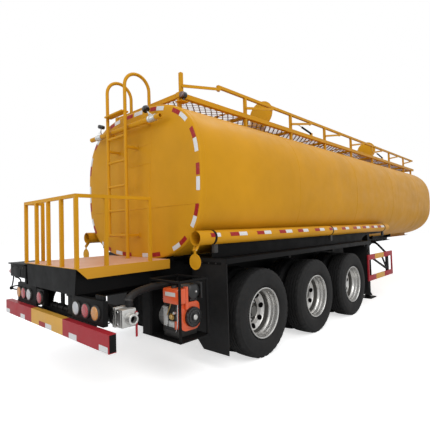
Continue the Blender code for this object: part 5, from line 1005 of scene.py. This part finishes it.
# Height of each bar and the ends of its yellow middle
GUARD_BARS = ((0.87, 3.774, 4.271), (0.47, 3.804, 4.285))
GUARD_POST_XS = (3.6, 4.55)
GUARD_BRACES = ((3.70, 0.896), (4.25, 0.89))
AIR_TANK = ((0, 0), (0.05, 0), (0.07, 0.006), (0.082, 0.02), (0.085, 0.035), (0.085, 0.385), (0.082, 0.4),
            (0.07, 0.414), (0.05, 0.42), (0, 0.42))


def make_side_guards():
    """Barred guards in red, yellow and red, with black braces, posts, arms and the round tank behind."""
    for side, label in SIDES:
        form = Form()
        inner, outer = side * GUARD_Y, side * (GUARD_Y + 0.025)
        for z, x1, x2 in GUARD_BARS:
            lengths = ((GUARD_REAR, x1, "red"), (x1, x2, "bumper_yellow"), (x2, GUARD_FRONT, "red"))
            for near, far, colour in lengths:
                form.box((near, inner, z), (far, outer, z + 0.1), colour, 0.002)
        for x in (GUARD_REAR, GUARD_FRONT - 0.05):
            form.box((x, inner, 0.569), (x + 0.05, outer, 0.871), "red", 0.002)
        post_y = inner - side * 0.02
        for x in GUARD_POST_XS:
            form.box((x - 0.02, post_y - 0.022, 0.474), (x + 0.02, post_y + 0.022, 0.966), "black", 0.003)
            arm = round_corners([(x, post_y, 0.93), (x, side * 0.95, 1.15), (x, side * 0.67, 1.17)], 0.06)
            form.tube(arm, 0.022, "black")
            form.box((x - 0.02, side * 0.95, 1.13), (x + 0.02, side * 0.665, 1.195), "black", 0.003)
        brace_y = inner - side * 0.012
        for x, z in GUARD_BRACES:
            form.bar((x, brace_y, z), (4.53, brace_y, 0.60), 0.022, 0.042, "black")
        form.box((4.5, inner, 0.568), (4.62, inner - side * 0.03, 0.872), "black", 0.003)
        form.turn(AIR_TANK, (3.6, side * 0.72, 1.15), (0, side, 0), "black", 40)
        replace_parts(form.piece(f"dressed_side_guard_{label}"), f"side_guard_{label}")


# Boxes of the pump set as two opposite corners, finish and rounding
ENGINE_BOXES = (
    ((-1.262, -1.08, 0.56), (-1.0, -0.86, 0.84), "dark_cast", 0.01),
    ((-1.266, -1.08, 0.4923), (-1.004, -0.864, 0.565), "dark_cast", 0.006),
    ((-1.219, -1.16, 0.78), (-1.184, -1.12, 1.005), "orange", 0.008),
    ((-1.288, -1.055, 0.60), (-1.268, -0.965, 0.66), "cast", 0.008),
    ((-1.284, -0.95, 0.60), (-1.268, -0.88, 0.80), "cast", 0.01),
    ((-1.288, -1.095, 0.585), (-1.264, -1.06, 0.665), "orange", 0.006),
)
# Corners of the engine's shroud: centre, rounding and first angle in degrees
SHROUD_CORNERS = ((-1.06, 0.79, 0.05, 0), (-1.215, 0.79, 0.05, 90), (-1.19, 0.64, 0.08, 180),
                  (-1.08, 0.64, 0.08, 270))
STARTER = ((0, 0), (0.1, 0), (0.1, 0.03), (0.096, 0.038), (0.088, 0.04), (0.086, 0.034), (0.075, 0.034),
           (0.072, 0.041), (0.06, 0.044), (0.057, 0.037), (0.04, 0.037), (0.038, 0.047), (0.03, 0.05),
           (0, 0.05))
STARTER_CUP = ((0, 0.0545), (0.022, 0.0545), (0.026, 0.051), (0.026, 0.048), (0, 0.048))
FILLER = ((0, 0.022), (0.022, 0.022), (0.026, 0.018), (0.026, 0.008), (0.034, 0.006), (0.034, 0))
PLUG = ((0, 0.03), (0.01, 0.03), (0.014, 0.026), (0.014, 0))
ENGINE_BOLTS = ((-1.045, 0.61), (-0.975, 0.65), (-0.94, 0.61), (-0.89, 0.79), (-0.94, 0.79))
FUEL_LINE = ((-1.28, -1.105, 0.835), (-1.288, -1.108, 0.74), (-1.284, -1.1, 0.62), (-1.278, -1.07, 0.56))
OIL_LINE = ((-1.278, -1.0, 0.84), (-1.29, -0.99, 0.79), (-1.288, -0.96, 0.74), (-1.278, -0.93, 0.70))
TANK_CAP = ((0, 0.02), (0.024, 0.02), (0.028, 0.016), (0.028, 0), (0, 0))
FILTER_DOME = ((0, 0), (0.06, 0), (0.078, 0.01), (0.083, 0.022), (0.083, 0.17), (0.078, 0.19), (0.06, 0.204),
               (0, 0.21))


def make_engine():
    """Engine with an orange shroud, a round starter, cooling fins and cast parts behind it."""
    form = Form()
    for corner, other, finish_name, bevel in ENGINE_BOXES:
        form.box(corner, other, finish_name, bevel)
    for k in range(7):
        z = 0.70 + 0.018 * k
        form.box((-1.27, -1.04, z), (-1.02, -0.89, z + 0.008), "dark_cast", 0.002)
    outline = []
    for x, z, reach, first in SHROUD_CORNERS:
        for angle in (math.radians(first + 15 * k) for k in range(7)):
            outline.append((x + reach * math.cos(angle), z + reach * math.sin(angle)))
    form.prism(outline, -1.13, -1.075, "orange")
    form.turn(STARTER, (-1.112, -1.13, 0.69), RIGHT, "black_plastic", 56,
              lambda k, r, h: (r, h - 0.004 if r > 0.055 and k % 4 == 0 and h > 0.033 else h))
    form.turn(STARTER_CUP, (-1.112, -1.13, 0.69), RIGHT, "cast", 32)
    form.turn(FILLER, (-1.268, -1.0, 0.70), REARWARD, "brass", 28)
    form.turn(PLUG, (-1.268, -1.055, 0.745), REARWARD, "cast", 20)
    form.tube(FUEL_LINE, 0.006, "steel", 10, smooth_steps=6)
    form.tube(OIL_LINE, 0.005, "brass", 10, smooth_steps=6)
    for y, z in ENGINE_BOLTS:
        form.bolt((-1.286, y, z), REARWARD, 0.008, 0.006, "steel")
    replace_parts(form.piece("dressed_engine"), "pump_engine")


def make_engine_tanks():
    """Fuel tank with its cap and bare label, and the round air filter."""
    form = Form()
    form.box((-1.33, -1.17, 0.8403), (-1.222, -0.93, 0.995), "orange", 0.022)
    form.turn(TANK_CAP, (-1.276, -1.05, 0.995), UP, "black_plastic", 32)
    form.box((-1.3312, -1.13, 0.918), (-1.329, -0.975, 0.958), "label")
    form.box((-1.331, -1.171, 0.878), (-1.221, -0.929, 0.883), "orange", 0.002)
    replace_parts(form.piece("dressed_fuel_tank", 40), "fuel_tank")
    form = Form()
    form.turn(FILTER_DOME, (-1.096, -0.96, 0.945), RIGHT, "black_plastic", 44,
              lambda k, r, h: (r - (0.002 if k % 2 and r > 0.08 else 0), h))
    form.box((-1.13, -1.12, 0.8403), (-1.03, -0.97, 0.90), "black_plastic", 0.008)
    form.box((-1.016, -1.165, 0.862), (-0.985, -0.96, 1.03), "black_plastic", 0.008)
    form.turn([(0, 0.012), (0.01, 0.012), (0.012, 0)], (-1.096, -1.169, 0.945), RIGHT, "steel", 16)
    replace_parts(form.piece("dressed_air_filter", 40), "air_filter")


def make_cage_sheets():
    """Thin sheets that close the pump cage's inner side and part of its rear."""
    form = Form()
    form.box((-1.327, -0.737, 0.49), (-0.958, -0.735, 0.985), "black")
    form.box((-1.344, -0.735, 0.482), (-1.342, -0.604, 0.93), "black")
    form.piece("pump_cage_sheets")


VALVE_LOW = (-1.86, -1.02, 0.70)
VALVE_HIGH = (-1.70, -0.86, 0.88)
VALVE_OUTLET = ((0.032, -0.05), (0.032, 0.063), (0.034, 0.065), (0.046, 0.065), (0.05, 0.061), (0.05, 0.046),
                (0.045, 0.042), (0.045, 0.014), (0.052, 0.004), (0.056, -0.004))


def make_valve_block():
    """Cast valve with flanges, ribs and a small round outlet, and its red lever."""
    form = Form()
    (low_x, low_y, low_z), (high_x, high_y, high_z) = VALVE_LOW, VALVE_HIGH
    for y in (high_y - 0.022, high_y - 0.052):
        form.box((low_x, y, low_z), (high_x, y + 0.022, high_z), "cast", 0.008)
        for x in (low_x + 0.018, high_x - 0.018):
            for z in (low_z + 0.018, high_z - 0.018):
                form.bolt((x, y, z), RIGHT, 0.009, 0.008, "steel")
    form.box((low_x + 0.004, low_y, low_z + 0.006), (high_x - 0.004, high_y - 0.045, high_z - 0.008), "cast",
             0.014)
    form.box((low_x, low_y + 0.02, low_z + 0.02), (low_x + 0.006, low_y + 0.05, high_z - 0.02), "cast", 0.003)
    for z in (0.735, 0.845):
        form.turn([(0, 0.006), (0.011, 0.006), (0.013, 0)], (low_x + 0.004, low_y + 0.075, z), REARWARD,
                  "steel", 20)
    form.turn(VALVE_OUTLET, (-1.775, low_y, 0.785), RIGHT, "cast", 40)
    # A near-black disc inside the outlet, painted shade for its bore
    form.turn([(0.032, 0.02), (0, 0.02)], (-1.775, low_y, 0.785), RIGHT, "hole_shade", 40)
    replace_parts(form.piece("dressed_valve_block", 40), "valve_block")
    form = Form()
    form.box((-1.719, -1.0283, 0.61), (-1.697, -1.0203, 0.84), "red", 0.003)
    form.turn([(0, 0.012), (0.012, 0.012), (0.014, 0.008), (0.014, 0)], (-1.708, -1.0283, 0.82), RIGHT,
              "steel", 20)
    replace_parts(form.piece("dressed_valve_lever"), "valve_lever")


PUMP_PIPE = ((-1.11, -0.76, 0.915), (-1.15, -0.785, 0.965), (-1.23, -0.83, 0.99), (-1.32, -0.84, 1.0),
             (-1.42, -0.85, 1.0), (-1.6, -0.89, 0.985), (-1.72, -0.93, 0.945))
PUMP_PIPE_RADIUS = 0.0375
PUMP_PIPE_RIB = 0.002


def make_pump_pipe():
    """The short fixed pipe from the pump to the valve block, with shallow ribs and a clamp at each end."""
    form = Form()
    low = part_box("pump_hose")[0]
    path = smooth_path([(-1.09, -0.76, low[2]), *PUMP_PIPE, (-1.72, -0.93, 0.8803)], 10)
    ribbed = range(13, len(path) - 12)
    radii = [PUMP_PIPE_RADIUS - (PUMP_PIPE_RIB if k in ribbed and k % 2 else 0) for k in range(len(path))]
    form.tube(path, PUMP_PIPE_RADIUS, "hose_rubber", 28, radii=radii)
    for k in (8, len(path) - 9):
        form.ring(path[k], path[k + 1] - path[k - 1], 0.037, 0.0395, 0.008, "dark_cast", 36, 0.001)
        form.bolt(path[k] + Vector((0, -0.039, 0)), FORWARD, 0.006, 0.02, "dark_cast")
    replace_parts(form.piece("dressed_pump_pipe", 50), "pump_hose")


# Outline, as (x, z) pairs, of the black sheets that are painted shade under the tank's sides
UNDERSIDE_SHADE_OUTLINE = ((-0.7, 1.24), (3.42, 1.24), (3.52, 1.262), (3.62, 1.30), (3.74, 1.335), (3.9, 1.352), (4.62, 1.357),
         (4.62, 1.40), (-0.7, 1.40))
UNDERSIDE_SHADE_Y = 1.03


def make_underside_shade():
    """Plain black sheets of painted shade that close the gap between each mudguard and the hose tube above
    it.
    """
    form = Form()
    for side, _ in SIDES:
        form.prism(UNDERSIDE_SHADE_OUTLINE, side * UNDERSIDE_SHADE_Y - 0.002, side * UNDERSIDE_SHADE_Y + 0.002, "black")
    form.piece("underside_shade_sheets")


LAMP_HOUSING = ((0, 0), (0.034, 0), (0.04, 0.008), (0.041, 0.05), (0.038, 0.056))
LAMP_DOME = ((0.038, 0.052), (0.037, 0.064), (0.03, 0.074), (0, 0.08))


def make_corner_lamp():
    """Small round marker lamp on a plate at the walkway's right rear corner."""
    form = Form()
    form.box((-0.865, -0.768, 3.062), (-0.745, -0.665, 3.07), "yellow", 0.002)
    form.box((-0.80, -0.7, 3.064), (-0.75, -0.6915, 3.15), "yellow", 0.002)
    form.turn([(0, 0), (0.012, 0), (0.012, 0.045), (0, 0.045)], (-0.795, -0.7335, 3.068), UP,
              "black_plastic", 20)
    for profile, finish_name in ((LAMP_HOUSING, "black_plastic"), (LAMP_DOME, "lens_dull")):
        form.turn(profile, (-0.765, -0.7335, 3.145), REARWARD, finish_name, 36)
    form.piece("corner_lamp")


FENDER_REAR = -0.70
FENDER_FRONT = 3.46
FENDER_INNER = 0.63
FENDER_OUTER = 1.245
FENDER_TOP = 1.245
FENDER_LIP = 0.06
FENDER_SHEET = 0.005
FENDER_ARM_LOW = 1.145
FENDER_ARM_OUTER = 1.195
FENDER_ARM_XS = (-0.655, 0.655, 1.965, 3.275)
FLAP_BOLT_YS = (0.76, 0.87, 0.98, 1.09)
# Rows of a mud flap: height, forward shift, outer edge, inner edge
REAR_FLAP = ((1.243, 0, 1.2425, 0.70), (0.8, 0, 1.2425, 0.70), (0.36, 0, 1.2425, 0.70),
             (0.28, 0, 1.2425, 0.78), (0.2, 0, 1.2425, 0.86))
FRONT_FLAP = ((1.243, 0, 1.17, 0.70), (0.8, 0, 1.17, 0.70), (0.50, 0, 1.17, 0.70), (0.38, 0.005, 1.176, 0.70),
              (0.28, 0.024, 1.192, 0.78), (0.2, 0.06, 1.22, 0.86))


def make_fenders():
    """Sheet mudguards with a beaded lip, square arms, and hanging flaps, the front one flared at its foot."""
    for side, label in SIDES:
        form = Form()
        edge = side * FENDER_OUTER
        form.box((FENDER_REAR, side * FENDER_INNER, FENDER_TOP - FENDER_SHEET),
                 (FENDER_FRONT, edge, FENDER_TOP), "black", 0.001)
        form.box((FENDER_REAR, side * (FENDER_OUTER - FENDER_SHEET), FENDER_TOP - FENDER_LIP),
                 (FENDER_FRONT, edge, FENDER_TOP), "black", 0.001)
        bead_y, bead_z = side * (FENDER_OUTER - 0.006), FENDER_TOP - 0.058
        form.tube([(x, bead_y, bead_z) for x in (FENDER_REAR, FENDER_FRONT)], 0.006, "black")
        for x, rows in ((FENDER_REAR + 0.01, REAR_FLAP), (FENDER_FRONT - 0.01, FRONT_FLAP)):
            rings = [[(x + shift + a, side * b, z) for a,
                      b in ((-0.005, inner), (-0.005, outer), (0.005, outer), (0.005, inner))] for z, shift,
                     outer, inner in rows]
            form.grid(rings, "flap_rubber", True, caps=True)
            form.box((x - 0.009, side * 0.70, 1.17), (x + 0.009, side * 1.165, 1.2), "black", 0.002)
            for y in FLAP_BOLT_YS:
                form.bolt((x - 0.009, side * y, 1.185), REARWARD, 0.009, 0.006, "dark_cast")
        low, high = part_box(f"fender_{label}")
        arm_inner = low[1] if side > 0 else high[1]
        for x in FENDER_ARM_XS:
            form.box((x - 0.025, arm_inner, FENDER_ARM_LOW),
                     (x + 0.025, side * FENDER_ARM_OUTER, FENDER_TOP - 0.003), "black", 0.003)
        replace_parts(form.piece(f"dressed_fender_{label}"), f"fender_{label}")


MARKER_HOUSING = ((0.04, 0), (0.04, 0.03), (0.037, 0.036))
MARKER_LENS = ((0.037, 0.03), (0.037, 0.095), (0.034, 0.112), (0.022, 0.122), (0, 0.125))
LEFT_BOX_TUBES = (((-2.05, 1.13, 1.055), (-2.056, 1.13, 1.0), (-2.068, 1.132, 0.93), (-2.078, 1.13, 0.9)),
                  ((-2.078, 1.13, 0.9), (-2.06, 1.08, 0.925), (-2.036, 1.01, 0.935)),
                  ((-2.078, 1.13, 0.9), (-2.06, 1.08, 0.888), (-2.036, 1.01, 0.885)),
                  ((-2.035, 1.12, 1.055), (-2.03, 1.12, 1.03), (-2.01, 1.09, 1.02), (-2.01, 1.02, 1.0),
                   (-2.012, 1.0, 0.975)), ((-1.95, 0.74, 1.055), (-1.95, 0.74, 0.975)),)


def make_left_box():
    """Black box with a lid, a red side marker, an upright beside the panel and bent tubes below."""
    form = Form()
    form.box((-2.08, 0.6403, 1.05), (-1.8, 1.15, 1.205), "black", 0.008)
    form.box((-2.1, 0.6403, 1.2), (-1.78, 1.17, 1.217), "black", 0.004)
    for y in (0.72, 0.9, 1.08):
        form.bolt((-2.08, y, 1.17), REARWARD, 0.009, 0.007, "dark_cast")
    form.box((-2.083, 0.80, 1.06), (-2.079, 1.0, 1.15), "black", 0.001)
    for profile, finish_name in ((MARKER_HOUSING, "black_plastic"), (MARKER_LENS, "lens_red")):
        form.turn(profile, (-2.03, 1.14, 1.1), LEFT, finish_name, 32)
    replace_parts(form.piece("dressed_left_box"), "left_box")
    form = Form()
    form.box((-2.07, 0.645, 0.985), (-2.04, 0.70, 1.052), "black", 0.003)
    for path in LEFT_BOX_TUBES:
        form.tube(path, 0.008, "black", 10, smooth_steps=6)
    form.turn([(0, 0.022), (0.016, 0.018), (0.022, 0), (0.016, -0.018), (0, -0.022)], (-2.078, 1.13, 0.9),
              UP, "black", 20)
    form.piece("left_box_tubes")


GUSSET = ((0.36, 0.99), (0.10, 0.99), (0.14, 0.955), (0.19, 0.915), (0.23, 0.87), (0.25, 0.82), (0.25, 0.765),
          (0.36, 0.765))
CROSS_TUBE_X = -1.945
CROSS_TUBE_Z = 0.785
LAMP_CABLE = ((-1.99, -1.0, 0.945), (-1.965, -1.032, 0.93), (-1.955, -1.04, 0.87), (-1.97, -1.03, 0.80),
             (-1.99, -1.0, 0.78))
FILLERS = (((-2.046, 0.235, 0.747), (-2.03, 1.02, 0.765)), ((-2.046, -0.9, 0.747), (-2.03, -0.345, 0.765)),
           ((-2.03, -0.44, 0.95), (-2.0, -0.3, 0.995)), ((-2.02, -1.0, 0.975), (-1.995, -0.86, 1.02)))
BRANCH_PIPE = ((0, 0), (0.095, 0), (0.1, 0.004), (0.1, 0.014), (0.095, 0.018), (0.082, 0.02), (0.08, 0.03),
               (0.08, 0.24), (0, 0.24))


def make_rear_underparts():
    """Gusset, upright and cross tube below the rear panel, a short lamp cable and the valve's branch pipe."""
    form = Form()
    form.prism(GUSSET, -1.935, -1.925, "black", across=False)
    form.box((-1.94, -0.03, 0.765), (-1.92, 0.036, 0.99), "black", 0.003)
    form.tube([(CROSS_TUBE_X, y, CROSS_TUBE_Z) for y in (-0.37, 0.24)], 0.03, "black", 20)
    for y in (-0.2, -0.08, 0.06, 0.17):
        form.ring((CROSS_TUBE_X, y, CROSS_TUBE_Z), LEFT, 0.03, 0.038, 0.018, "black", 24, 0.003)
    form.tube(LAMP_CABLE, 0.005, "black", 8, smooth_steps=5)
    for corner, other in FILLERS:
        form.box(corner, other, "black", 0.002)
    form.turn(BRANCH_PIPE, (-1.78, -0.8597, 0.79), LEFT, "black", 40)
    form.piece("rear_underparts")


make_camera()
make_stage()
make_materials()
paint_cad()
make_tank()
make_necks()
make_lids()
make_head_seams()
make_head_tapes()
make_wheels()
make_bumper()
make_lamps()
make_grating()
make_spray_pipe()
make_ladder()
make_hose_tubes()
make_side_guards()
make_engine()
make_engine_tanks()
make_cage_sheets()
make_valve_block()
make_pump_pipe()
make_corner_lamp()
make_fenders()
make_underside_shade()
make_reflectors()
make_left_box()
make_rear_underparts()
